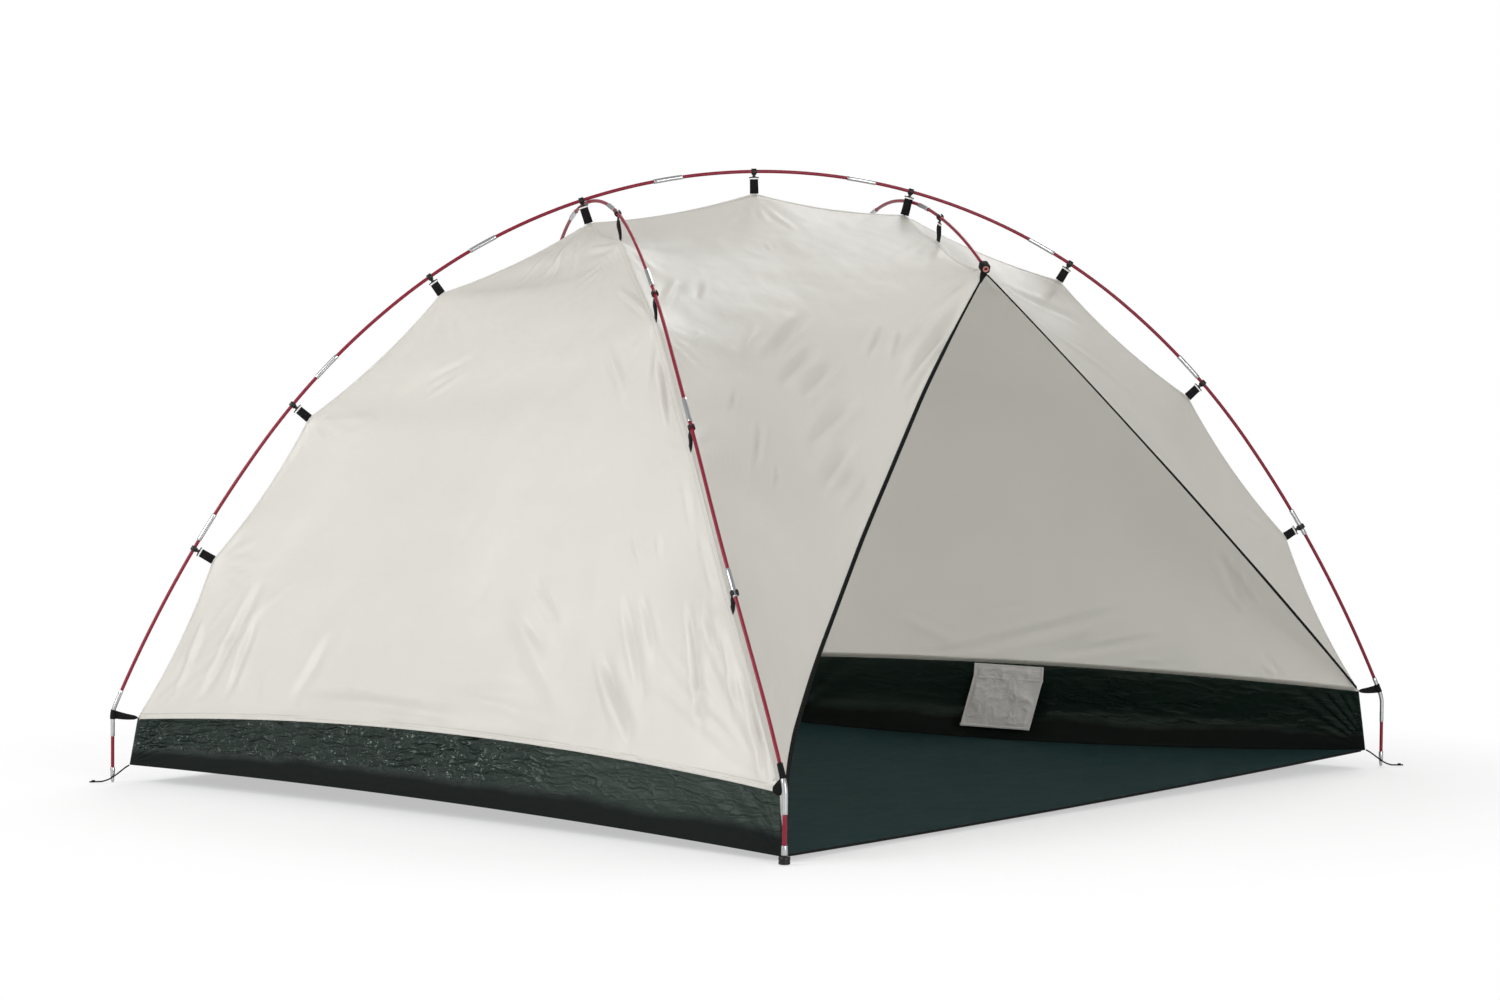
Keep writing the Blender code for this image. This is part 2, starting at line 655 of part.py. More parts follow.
def cloth_lines():
    """The lines that the panels share, by name."""
    arch = [clip_point(ARCH, *place_on_pole) for place_on_pole in ARCH_CLIPS]
    front = [clip_point(FRONT, *place_on_pole) for place_on_pole in FRONT_CLIPS]
    rear = [clip_point(FRONT, share, FRONT_CLIP_REACH) for share in FRONT_REAR_CLIP_SHARES]
    porch_front = clip_point(PORCH, *PORCH_CLIP)
    porch_rear = [clip_point(PORCH, share, FRONT_CLIP_REACH) for share in PORCH_REAR_CLIP_SHARES]
    left_cross, right_cross = arch[CROSSING_LEFT_CLIP], arch[CROSSING_RIGHT_CLIP]
    rows = PANEL_ROWS
    peak = PORCH.at(0) + PORCH_END_DROP * DOWN
    corner = {foot: seam_corner(foot) for foot in CORNERS}
    return {
        "left_ridge": scalloped([corner["left"], *arch[:CROSSING_LEFT_CLIP], left_cross], rows),
        "top_ridge": scalloped([left_cross, arch[APEX_CLIP], right_cross], PANEL_COLUMNS),
        "right_ridge": scalloped(
            [corner["right"], *arch[:CROSSING_RIGHT_CLIP:-1], right_cross], rows
        ),
        "front_ridge": scalloped([corner["front"], *front, left_cross], rows),
        "rear_left_ridge": scalloped([corner["rear_left"], *rear[::-1], left_cross], rows),
        "rear_right_ridge": scalloped([corner["rear_right"], *porch_rear[::-1], right_cross], rows),
        "porch_seam": scalloped([peak, porch_front, right_cross], PORCH_SEAM_POINTS),
        "peak": peak,
    }


def entrance_edges(lines):
    """The two bound edges of the entrance, from the peak down to the front and right corners."""
    peak = lines["peak"]
    shares = np.array(ENTRANCE_POINT_SHARES)
    draw = np.interp(shares, *zip(*ENTRANCE_DRAW_SHARES))[:, None]
    front_foot = floor_corner("front")
    threshold = unit(floor_corner("right") - front_foot)
    front_foot += threshold * ENTRANCE_FOOT_SETBACK - DOWN * ENTRANCE_FOOT_LIFT
    chord = front_foot - peak
    away = unit(lines["front_ridge"][len(lines["front_ridge"]) // 2] - (peak + front_foot) / 2)
    away = unit(away - away.dot(unit(chord)) * unit(chord))
    front = peak + shares[:, None] * chord + draw * ENTRANCE_DRAW * away
    right_foot = seam_corner("right")
    chord = right_foot - peak
    up = unit(-DOWN + DOWN.dot(unit(chord)) * unit(chord))
    right = bowed(peak, right_foot, PANEL_ROWS, up, ENTRANCE_RIGHT_DRAW)
    return front, right


def make_canopy(parts):
    """The six sewn panels, each relaxed between its own edges."""
    lines = cloth_lines()
    front_edge, right_edge = entrance_edges(lines)
    bound = BINDING_RADIUS + CLOTH_THICKNESS / 2 + BINDING_GAP
    half = {name: gap / 2 for name, gap in RIDGE_GAPS.items()}
    columns, across = PANEL_COLUMNS, PORCH_SEAM_POINTS
    porch = lines["porch_seam"].copy()
    porch[0] += unit(porch[1] - porch[0]) * PEAK_SETBACK

    def point_row(point, count):
        return np.repeat(point[None], count, axis=0)

    def corner_panel(name, seam_side, left, right, columns=PANEL_COLUMNS, folds=None):
        edges = [lines[ridge] for ridge in (left, right)]
        tip = point_row(edges[0][-1], columns)
        grid = relaxed(coons(seam_line(seam_side, columns), tip, *edges))
        if folds:
            grid = folded(grid, edges[1][0], folds)
        gaps = (SEAM_GAP / 2, SEAM_GAP, half[left], half[right])
        sheet(name, inset(grid, gaps), parts, "cloth")

    corner_panel("panel_left", "left", "left_ridge", "front_ridge", LEFT_PANEL_COLUMNS, FRONT_FOLDS)
    corner_panel("panel_rear_right", "rear_right", "right_ridge", "rear_right_ridge")
    corner_panel("panel_rear_left", "rear_left", "rear_left_ridge", "left_ridge")

    top = lines["top_ridge"]
    rear_edges = lines["rear_right_ridge"], lines["rear_left_ridge"]
    grid = relaxed(coons(seam_line("rear", columns), top[::-1], *rear_edges))
    gaps = (SEAM_GAP / 2, half["top_ridge"], half["rear_right_ridge"], half["rear_left_ridge"])
    sheet("panel_rear", inset(grid, gaps), parts, "cloth")

    left = lines["front_ridge"]
    right = np.concatenate((front_edge[:0:-1], porch))
    right[0] += PANEL_TIP_SETBACK * (unit(right[1] - right[0]) + unit(left[0] - right[0]))
    bottom = bowed(left[0], right[0], columns, DOWN, 0)
    grid = relaxed(coons(bottom, top, left, right))
    gaps = (half["front_ridge"], half["top_ridge"], half["front_ridge"])
    shut = inset(grid, (*gaps, half["porch_seam"]))
    shut[:-across, -1] = inset(grid, (*gaps, bound))[:-across, -1]
    sheet("panel_front", shut, parts, "cloth")

    left, right = right_edge[::-1].copy(), lines["right_ridge"]
    left[-1] = porch[0]
    grid = relaxed(coons(point_row(left[0], across), porch, left, right))
    gaps = (SEAM_GAP, half["porch_seam"], bound, half["right_ridge"])
    grid = inset(grid, gaps, ENTRANCE_TIP_SETBACK)
    sheet("panel_right", grid, parts, "cloth")
    return front_edge, right_edge


def make_tub(parts):
    """The tub: a floor on the ground whose edge turns up into a low wall, open at the threshold."""
    build = bmesh.new()
    base = CLOTH_THICKNESS / 2
    edge = np.concatenate([floor_edge(side, TUB_COLUMNS + 1)[:-1] for side in SIDES])
    centre = np.array((*edge[:, :2].mean(axis=0), base))
    hub = build.verts.new(centre)
    rings = []
    for share in FLOOR_RING_SHARES:
        ring = centre + (edge - centre) * share
        ring[:, 2] = base
        rings.append([build.verts.new(point) for point in ring])
    rings.append([build.verts.new(point) for point in edge + base * -DOWN])
    count = len(edge)
    for index in range(count):
        build.faces.new((hub, rings[0][index], rings[0][(index + 1) % count]))
    for low, high in zip(rings, rings[1:]):
        for index in range(count):
            after = (index + 1) % count
            build.faces.new((low[index], high[index], high[after], low[after]))
    # The wall starts at the right corner and runs round the back to the front corner
    walled = ("rear_right", "rear", "rear_left", "left")
    top = np.concatenate([seam_line(side, TUB_COLUMNS + 1)[:-1] for side in walled])
    top = np.concatenate((top, [seam_corner("front")]))
    start = SIDES.index(walled[0]) * TUB_COLUMNS
    foot = [rings[-1][(start + index) % count] for index in range(len(top))]
    middle, upper = [], []
    for index, (low, high) in enumerate(zip(foot, top)):
        low = np.array(low.co)
        out = unit(np.array((*(low - centre)[:2], 0)))
        belly = TUB_WALL_BELLY * math.sin(math.pi * (index % TUB_COLUMNS) / TUB_COLUMNS)
        middle.append(build.verts.new((low + high) / 2 + out * belly))
        gap = WALL_END_GAP if index in (0, len(top) - 1) else SEAM_GAP / 2
        upper.append(build.verts.new(high + DOWN * gap))
    for low, high in ((foot, middle), (middle, upper)):
        for index in range(len(top) - 1):
            build.faces.new((low[index], high[index], high[index + 1], low[index + 1]))
    bmesh.ops.recalc_face_normals(build, faces=build.faces)
    mesh = bpy.data.meshes.new("tub")
    build.to_mesh(mesh)
    build.free()
    thing = place("tub", mesh, parts, "tub")
    thicken(thing, CLOTH_THICKNESS)
    mesh.shade_smooth()


def make_binding(front_edge, right_edge, parts, cutters):
    """The black binding of the entrance, with the pocket at its peak that holds the pole's end."""
    line = np.concatenate((front_edge[::-1], right_edge[1:]))
    line[-1] += ENTRANCE_FOOT_LIFT * unit(line[-2] - line[-1])
    binding = as_mesh(
        tube("entrance_binding", line, [BINDING_RADIUS] * len(line), parts, "webbing")
    )
    end, along = PORCH.at(0), PORCH.tangent(0)
    below = end - along * POLE_POCKET_RADIUS * POLE_POCKET_TIP_SHARE
    mouth = PORCH.at(POLE_POCKET_LENGTH)
    pocket = tube(
        "pole_pocket_body",
        [below + DOWN * PORCH_END_DROP, end - along * CUT_OVERRUN, end, mouth],
        [BINDING_RADIUS, POLE_POCKET_RADIUS, POLE_POCKET_RADIUS, POLE_POCKET_RADIUS],
        cutters, None, PLUG_SIDES_RESOLUTION,
    )
    combine(binding, as_mesh(pocket), "UNION")
    socket = PORCH.between(0, POLE_POCKET_LENGTH + CUT_OVERRUN, POLE_POCKET_LENGTH / 2)
    socket[0] = end - along * FIT_GAP
    bore = [bore_radius(PLUG_SIDES_RESOLUTION)] * len(socket)
    cutter = tube("pole_pocket_bore", socket, bore, cutters, None, PLUG_SIDES_RESOLUTION)
    combine(binding, as_mesh(cutter), "DIFFERENCE")
    smooth(binding)


def make_pocket(parts):
    """The flat pocket that hangs inside from the seam of the rear right wall."""
    seam = Route(seam_line("rear_right", TUB_COLUMNS + 1))
    middle = seam.length * POCKET_PLACE_SHARE
    start, end = seam.at(middle - POCKET_WIDTH / 2), seam.at(middle + POCKET_WIDTH / 2)
    along = unit(np.array((*(end - start)[:2], 0)))
    inside = unit(np.cross(-DOWN, along))
    offset = (CLOTH_THICKNESS + POCKET_THICKNESS) / 2 + FIT_GAP
    top = (start + end) / 2 + inside * offset + DOWN * POCKET_TOP_DROP
    columns, rows = 6, 6
    grid = np.zeros((rows + 1, columns + 1, 3))
    for row in range(rows + 1):
        for column in range(columns + 1):
            across = column / columns - 0.5
            down = row / rows
            sway = POCKET_DEPTH * math.sin(math.pi * down) * math.cos(math.pi * across)
            grid[row, column] = (
                top + along * across * POCKET_WIDTH + DOWN * down * POCKET_DROP
                + inside * (sway + down * POCKET_LEAN)
            )
    pocket = sheet("seam_pocket", grid, parts, "pocket")
    pocket.modifiers["Cloth"].thickness = POCKET_THICKNESS


def make_cord(name, side, parts):
    """A foot cord on the same route at either end of the arch."""
    points = [(point[0] * side, point[1], point[2]) for point in LEFT_CORD_ROUTE]
    tube(name, points, [CORD_RADIUS] * len(points), parts, "webbing")


def build_tent():
    clear_scene()
    parts, cutters = new_collection("beach_tent"), new_collection("cutters")
    cutters.hide_render = True
    elbow_trim = ELBOW_UPPER_ARM - PLUG_DEPTH
    make_pole("arch", ARCH, ARCH_SECTION_SHARES, elbow_trim, elbow_trim, parts, cutters)
    make_pole("front_pole", FRONT, FRONT_SECTION_SHARES, elbow_trim, elbow_trim, parts, cutters)
    make_pole("porch_pole", PORCH, PORCH_SECTION_SHARES, 0, elbow_trim, parts, cutters)
    for foot in CORNERS:
        make_elbow(foot, parts, cutters)
        make_leg(foot, parts)
    for foot in ("left", "front", "right"):
        make_corner_strap(foot, parts)
    sleeves = {
        name: np.cumsum([SECTION * share for share in shares])[:-1]
        for name, shares in (
            ("arch", ARCH_SECTION_SHARES), ("front", FRONT_SECTION_SHARES),
            ("porch", PORCH_SECTION_SHARES),
        )
    }
    for index, place_on_pole in enumerate(ARCH_CLIPS, 1):
        make_clip(f"arch_clip_{index}", ARCH, place_on_pole, sleeves["arch"], parts)
    for index, place_on_pole in enumerate(FRONT_CLIPS, 1):
        make_clip(f"front_pole_clip_{index}", FRONT, place_on_pole, sleeves["front"], parts)
    make_clip("porch_clip", PORCH, PORCH_CLIP, sleeves["porch"], parts)
    front_edge, right_edge = make_canopy(parts)
    make_binding(front_edge, right_edge, parts, cutters)
    make_tub(parts)
    make_pocket(parts)
    make_cord("foot_cord_left", 1, parts)
    make_cord("foot_cord_right", -1, parts)
    bpy.context.view_layer.update()


build_tent()
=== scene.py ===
"""Beach tent: the looks of its poles, clips, sewn canopy, tub floor, pocket and cords.

Everything is in metres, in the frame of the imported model.
"""

import math

import bmesh
import bpy
import numpy as np
from mathutils import Matrix, Vector


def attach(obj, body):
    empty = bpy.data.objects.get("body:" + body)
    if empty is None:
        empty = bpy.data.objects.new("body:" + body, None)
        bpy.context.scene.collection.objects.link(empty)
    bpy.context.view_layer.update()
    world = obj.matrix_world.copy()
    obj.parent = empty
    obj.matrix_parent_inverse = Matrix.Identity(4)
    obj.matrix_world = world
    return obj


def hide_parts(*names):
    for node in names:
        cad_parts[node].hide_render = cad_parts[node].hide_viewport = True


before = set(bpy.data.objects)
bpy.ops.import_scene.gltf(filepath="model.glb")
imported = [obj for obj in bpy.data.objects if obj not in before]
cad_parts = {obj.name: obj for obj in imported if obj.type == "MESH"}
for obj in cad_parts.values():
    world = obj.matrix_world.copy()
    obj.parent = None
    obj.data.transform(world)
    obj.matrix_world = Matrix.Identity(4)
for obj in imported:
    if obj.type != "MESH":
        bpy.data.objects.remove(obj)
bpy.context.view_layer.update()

bl_info = {
    "name": "Beach tent",
    "version": (1, 0, 0),
    "blender": (4, 5, 0),
    "location": "3D View > Sidebar > Beach Tent",
    "description": "A jointed-pole beach tent with a sewn canopy and a tub floor",
    "category": "Object",
}

TENT = "tent"

# The poles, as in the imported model: section lengths, slopes and headings in degrees
SECTION = 0.400
FIT_GAP = 0.0003
SLEEVE_LENGTH = 0.060
LEG_HEIGHT = 0.142
ARCH_SHARES = (1.028, 1, 1, 1, 1, 1, 1, 1, 1.028)
ARCH_SLOPES = (63.03, 54.17, 38.68, 19.27, 0, -19.27, -38.68, -54.17, -63.03)
ARCH_HEADINGS = (90,) * 9
FRONT_SHARES = (1.02, 1, 1, 1, 1, 1.14, 1.14, 1.14)
FRONT_SLOPES = (59.5, 49.1, 36.8, 19.1, -3.1, -26.8, -50.7, -74.4)
FRONT_HEADINGS = (-19.6, -7.7, -2.5, -1.3, -2.4, 1.5, 8.6, 16.4)
PORCH_SHARES = (1, 1, 1.1, 1.1, 1.1)
PORCH_SLOPES = (16.4, -2.3, -26.4, -55.0, -86.0)
PORCH_HEADINGS = (-6.6, -2.4, -2.8, -5.1, -7.4)
ARCH_AT_FRONT_SHARE, FRONT_AT_ARCH_SHARE, FRONT_CROSSING_DROP = 0.3983, 0.5479, 0.0076
ARCH_AT_PORCH_SHARE, PORCH_AT_ARCH_SHARE, PORCH_CROSSING_DROP = 0.5859, 0.2236, 0.0213
ELBOW_UPPER_ARM, ELBOW_LOWER_ARM, PLUG_DEPTH = 0.045, 0.050, 0.020
TIP_LENGTH, TIP_SLEEVE_LENGTH = 0.012, 0.018
FOOT_CAP_RADIUS, FOOT_CAP_LENGTH = 0.011, 0.016

# Clips: share of the pole, reach to the cloth
ARCH_CLIP_REACH, FRONT_CLIP_REACH, PORCH_CLIP_REACH = 0.045, 0.060, 0.050
ARCH_CLIP_SHARES = (0.0998, 0.1958, 0.2996, 0.3946, 0.4936, 0.5841, 0.6850, 0.7887, 0.8897)
ARCH_REACH_SHARES = (1.0, 0.96, 0.92, 1.07, 1.0, 1.11, 0.92, 0.95, 0.86)
FRONT_CLIP_SHARES = (0.1144, 0.2264, 0.3408, 0.4585)
FRONT_REACH_SHARES = (1.1, 1.0, 1.0, 0.9)
FRONT_CLIP_LEANS = (17, 9, 8, 8)
PORCH_CLIP_SHARE = 0.1376
FRONT_REAR_KNOT_SHARES = (0.640, 0.760, 0.880)
PORCH_REAR_KNOT_SHARES = (0.45, 0.64, 0.83)
PORCH_END_DROP = 0.008

# Cloth lines
SCALLOP_SHARE = 0.032
ENTRANCE_FOOT_LIFT, ENTRANCE_FOOT_SETBACK = 0.012, 0.007
ENTRANCE_DRAW, ENTRANCE_RIGHT_DRAW = 0.056, 0.011
ENTRANCE_DRAW_SHARES = ((0, 0), (0.1, 0.3), (0.23, 0.6), (0.5, 0.92), (0.72, 1), (0.84, 0.87),
                        (0.9, 0.62), (1, 0))
ENTRANCE_POINT_SHARES = (0, 0.1, 0.21, 0.33, 0.45, 0.57, 0.68, 0.78, 0.86, 0.92, 0.965, 1)
TUB_CORNER_REACH = 0.050
SEAM_HEIGHTS = {"left": 0.128, "front": 0.126, "right": 0.156, "rear_right": 0.150,
                "rear_left": 0.150}
SEAM_RISES = {"left": 0.040, "rear_right": 0.014, "rear": 0.020, "rear_left": 0.034}
FLOOR_CORNER_REACH, FLOOR_FRONT_CORNER_REACH = 0.034, 0.026
FLOOR_HEIGHTS = {"left": 0.034, "front": 0.010, "right": 0.033, "rear_right": 0.003,
                 "rear_left": 0.003}
FLOOR_LIFTS = {"left": 0.010, "threshold": -0.012, "rear_right": -0.016, "rear": 0.0,
               "rear_left": 0.004}
FLOOR_DRAW_SHARE = 0.012
PEAK_SETBACK = 0.014
POCKET_WIDTH, POCKET_DROP, POCKET_DEPTH, POCKET_LEAN = 0.170, 0.136, 0.006, 0.014
POCKET_PLACE_SHARE, POCKET_TOP_DROP = 0.60, 0.004
CORD_RADIUS = 0.0015
LEFT_CORD_ROUTE = ((-1.2798, -0.0006, 0.0338), (-1.2875, -0.0030, 0.0295),
                   (-1.2965, -0.0058, 0.0230), (-1.3050, -0.0072, 0.0165),
                   (-1.3125, -0.0074, 0.0115), (-1.3190, -0.0070, 0.0075),
                   (-1.3270, -0.0060, 0.0042), (-1.3350, -0.0045, 0.0021),
                   (-1.3430, -0.0040, 0.0019), (-1.3510, -0.0045, 0.0019),
                   (-1.3590, -0.0060, 0.0019))

CORNERS = ("left", "front", "right", "rear_right", "rear_left")
SIDES = ("left", "threshold", "rear_right", "rear", "rear_left")
STRAPPED = ("left", "front", "right")
UP = np.array((0.0, 0.0, 1.0))
MIDDLE = np.array((0.0, 0.0, 0.35))


# ---- sizes and colours

def colour(name, description, default):
    return bpy.props.FloatVectorProperty(
        name=name, description=description, default=default, size=3, subtype="COLOR", min=0, max=1)


def number(name, description, default, **more):
    return bpy.props.FloatProperty(
        name=name, description=description, default=default, min=0, **more)


def length(name, description, default):
    return number(name, description, default, unit="LENGTH", precision=4)


class TentPoleSettings(bpy.types.PropertyGroup):
    rod_radius: length("Rod radius", "Radius of the fibreglass rods", 0.0035)
    sleeve_radius: length("Sleeve radius", "Radius of the metal sleeves that join the rods", 0.0047)
    elbow_radius: length("Elbow radius", "Radius of the bent tubes at the feet", 0.0048)
    rod_colour: colour("Rod colour", "Lacquer on the rods", (0.200, 0.0060, 0.0240))
    metal_colour: colour("Metal colour", "Sleeves, elbows and tips", (0.53, 0.54, 0.55))


class TentClothSettings(bpy.types.PropertyGroup):
    thickness: length("Cloth thickness", "Thickness of the canopy cloth", 0.0008)
    seam_width: length("Seam width", "Width of the felled seams on each side of a ridge", 0.009)
    hem_width: length("Hem width", "Height of the hem where the canopy meets the tub", 0.009)
    cloth_colour: colour("Cloth colour", "The canopy's cloth", (0.79, 0.772, 0.725))
    pocket_colour: colour("Pocket colour", "The cloth of the inside pocket", (0.60, 0.585, 0.57))
    thread_colour: colour("Thread colour", "The stitches on the canopy", (0.60, 0.59, 0.55))
    fold_height: number("Fold height", "Scale of all folds in the canopy", 1.7)


class TentTubSettings(bpy.types.PropertyGroup):
    thickness: length("Cloth thickness", "Thickness of the coated tub cloth", 0.0010)
    crumple_height: length("Crumple height", "Height of the crumples in the tub's wall", 0.0085)
    tub_colour: colour("Tub colour", "The coated cloth of the wall", (0.0080, 0.0150, 0.0118))
    floor_colour: colour("Floor colour", "The coated cloth of the floor", (0.0180, 0.0440, 0.0465))


class TentTrimSettings(bpy.types.PropertyGroup):
    strap_width: length("Strap width", "Width of the clips' webbing", 0.017)
    tape_width: length("Tape width", "Width of the entrance's folded tape", 0.0092)
    stitch_pitch: length("Stitch pitch", "Distance from one stitch to the next", 0.0055)
    stitch_length: length("Stitch length", "Length of one stitch", 0.0036)
    thread_radius: length("Thread radius", "Radius of the sewing thread", 0.00035)
    webbing_colour: colour("Webbing colour", "Straps, tape and cords", (0.0042, 0.0042, 0.0048))
    hook_colour: colour("Hook colour", "Moulded hooks and foot cap", (0.0055, 0.0055, 0.0060))
    band_colour: colour("Band colour", "The pale bands on the clips' straps", (0.80, 0.80, 0.79))


class TentStageSettings(bpy.types.PropertyGroup):
    floor_colour: colour("Floor colour", "The ground under the tent", (0.90, 0.90, 0.90))
    key_power: number("Key power", "Power of the large light on the left", 300, unit="POWER")
    fill_power: number("Fill power", "Power of the light in front", 230, unit="POWER")
    back_power: number("Back power", "Power of the light behind the tent", 215, unit="POWER")
    sky_strength: number("Sky strength", "Strength of the even light from all round", 0.45)


SETTINGS = {
    "tent_poles": TentPoleSettings,
    "tent_cloth": TentClothSettings,
    "tent_tub": TentTubSettings,
    "tent_trim": TentTrimSettings,
    "tent_stage": TentStageSettings,
}


# ---- lines in space

def unit(vector):
    return vector / max(np.linalg.norm(vector), 1e-12)


def units(vectors):
    return vectors / np.maximum(np.linalg.norm(vectors, axis=-1, keepdims=True), 1e-12)


def distances(points, axis=0):
    """How far each point lies along its line, or along its column or row of a grid."""
    steps = np.linalg.norm(np.diff(points, axis=axis), axis=-1)
    start = np.zeros_like(np.take(steps, [0], axis=axis))
    return np.concatenate((start, np.cumsum(steps, axis=axis)), axis=axis)


class Route:
    """A smooth line in space, read by its length from the first end."""

    def __init__(self, points):
        self.points = np.array(points, float)
        self.lengths = distances(self.points)
        self.length = self.lengths[-1]

    def at(self, along):
        return np.array([np.interp(along, self.lengths, self.points[:, i]) for i in range(3)])

    def tangent(self, along):
        reach = self.length / len(self.points)
        low, high = max(along - reach, 0), min(along + reach, self.length)
        return unit(self.at(high) - self.at(low))

    def between(self, start, stop, step):
        count = max(2, round((stop - start) / step) + 1)
        return np.array([self.at(along) for along in np.linspace(start, stop, count)])

    def inward(self, along, lean=0.0):
        tangent = self.tangent(along)
        down = unit(-UP + UP.dot(tangent) * tangent)
        lean = math.radians(lean)
        return math.cos(lean) * down + math.sin(lean) * np.cross(down, tangent)

    def moved(self, offset):
        return Route(self.points + offset)


def paired(first, second):
    """Two arrays side by side as one array of pairs."""
    return np.stack(np.broadcast_arrays(first, second), axis=-1)


def bent_pole(shares, slopes, headings, steps=40):
    """A pole whose direction turns evenly from each section's middle to the next one's."""
    points, count = [np.zeros(3)], len(slopes)
    for index in range(count):
        before, after = max(index - 1, 0), min(index + 1, count - 1)
        step = SECTION * shares[index] / steps
        for part in range(steps):
            turn = (part + 0.5) / steps - 0.5
            other = after if turn > 0 else before
            slope, heading = (
                table[index] + abs(turn) * (table[other] - table[index])
                for table in (slopes, headings)
            )
            if other == index:
                mirror = before if turn > 0 else after
                slope -= abs(turn) * (slopes[mirror] - slopes[index])
            slope, heading = math.radians(slope), math.radians(heading)
            level = math.cos(slope)
            way = (level * math.sin(heading), level * math.cos(heading), math.sin(slope))
            points.append(points[-1] + step * np.array(way))
    return Route(points)


def crossing_pole(route, share, under, drop):
    return route.moved(under - drop * UP - route.at(share * route.length))


ARCH = bent_pole(ARCH_SHARES, ARCH_SLOPES, ARCH_HEADINGS)
ARCH = ARCH.moved(np.array((-ARCH.at(ARCH.length)[0] / 2, 0, LEG_HEIGHT)))
FRONT = crossing_pole(
    bent_pole(FRONT_SHARES, FRONT_SLOPES, FRONT_HEADINGS), FRONT_AT_ARCH_SHARE,
    ARCH.at(ARCH_AT_FRONT_SHARE * ARCH.length), FRONT_CROSSING_DROP,
)
PORCH = crossing_pole(
    bent_pole(PORCH_SHARES, PORCH_SLOPES, PORCH_HEADINGS), PORCH_AT_ARCH_SHARE,
    ARCH.at(ARCH_AT_PORCH_SHARE * ARCH.length), PORCH_CROSSING_DROP,
)
POLES = {
    "arch": (ARCH, ARCH_SHARES), "front_pole": (FRONT, FRONT_SHARES),
    "porch_pole": (PORCH, PORCH_SHARES),
}


def foot_frame(route, end, inside):
    arm = ELBOW_UPPER_ARM if end == 0 else route.length - ELBOW_UPPER_ARM
    bend = route.at(end)
    return bend, unit(route.at(arm) - bend), np.array(inside)


FEET = {
    "left": foot_frame(ARCH, 0, (1.0, 0.0, 0.0)),
    "front": foot_frame(FRONT, 0, (0.0, 1.0, 0.0)),
    "right": foot_frame(ARCH, ARCH.length, (-1.0, 0.0, 0.0)),
    "rear_right": foot_frame(PORCH, PORCH.length, (0.0, -1.0, 0.0)),
    "rear_left": foot_frame(FRONT, FRONT.length, (0.0, -1.0, 0.0)),
}
ARCH_CLIPS = [
    (ARCH, share, ARCH_CLIP_REACH * reach, 0.0)
    for share, reach in zip(ARCH_CLIP_SHARES, ARCH_REACH_SHARES)
]
FRONT_CLIPS = [
    (FRONT, share, FRONT_CLIP_REACH * reach, lean)
    for share, reach, lean in zip(FRONT_CLIP_SHARES, FRONT_REACH_SHARES, FRONT_CLIP_LEANS)
]
PORCH_CLIP = (PORCH, PORCH_CLIP_SHARE, PORCH_CLIP_REACH, 0.0)


def clip_point(route, share, reach, lean=0.0):
    along = share * route.length
    return route.at(along) + reach * route.inward(along, lean)


def seam_corner(foot):
    bend, _, inside = FEET[foot]
    corner = bend + inside * TUB_CORNER_REACH
    corner[2] = SEAM_HEIGHTS[foot]
    return corner


def floor_corner(foot):
    bend, _, inside = FEET[foot]
    reach = FLOOR_FRONT_CORNER_REACH if foot == "front" else FLOOR_CORNER_REACH
    corner = bend + inside * reach
    corner[2] = FLOOR_HEIGHTS[foot]
    return corner


def bowed(start, end, count, way, depth):
    shares = np.linspace(0, 1, count)[:, None]
    return start * (1 - shares) + end * shares + 4 * shares * (1 - shares) * depth * way


def side_ends(side):
    index = SIDES.index(side)
    return CORNERS[index], CORNERS[(index + 1) % len(CORNERS)]


def seam_line(side, count):
    first, second = side_ends(side)
    return bowed(seam_corner(first), seam_corner(second), count, UP, SEAM_RISES[side])


def floor_edge(side, count):
    first, second = (floor_corner(foot) for foot in side_ends(side))
    chord = second - first
    inside = unit(np.cross(UP, chord))
    draw = inside * np.linalg.norm(chord) * FLOOR_DRAW_SHARE
    shares = np.linspace(0, 1, count)
    line = bowed(first, second, count, draw, 1.0)
    return line + 4 * FLOOR_LIFTS[side] * np.outer(shares * (1 - shares), UP)


def scalloped(knots, count):
    """A cloth edge of that many points, held at the knots and drawn in between them."""
    middle = np.array((0, 0, LEG_HEIGHT))
    line = [knots[0]]
    steps = [len(share) for share in np.array_split(range(count - 1), len(knots) - 1)]
    for first, second, points in zip(knots, knots[1:], steps):
        chord = second - first
        inward = middle - (first + second) / 2
        inward = unit(inward - inward.dot(unit(chord)) * unit(chord))
        depth = SCALLOP_SHARE * np.linalg.norm(chord)
        line.extend(bowed(first, second, points + 1, inward, depth)[1:])
    return np.array(line)


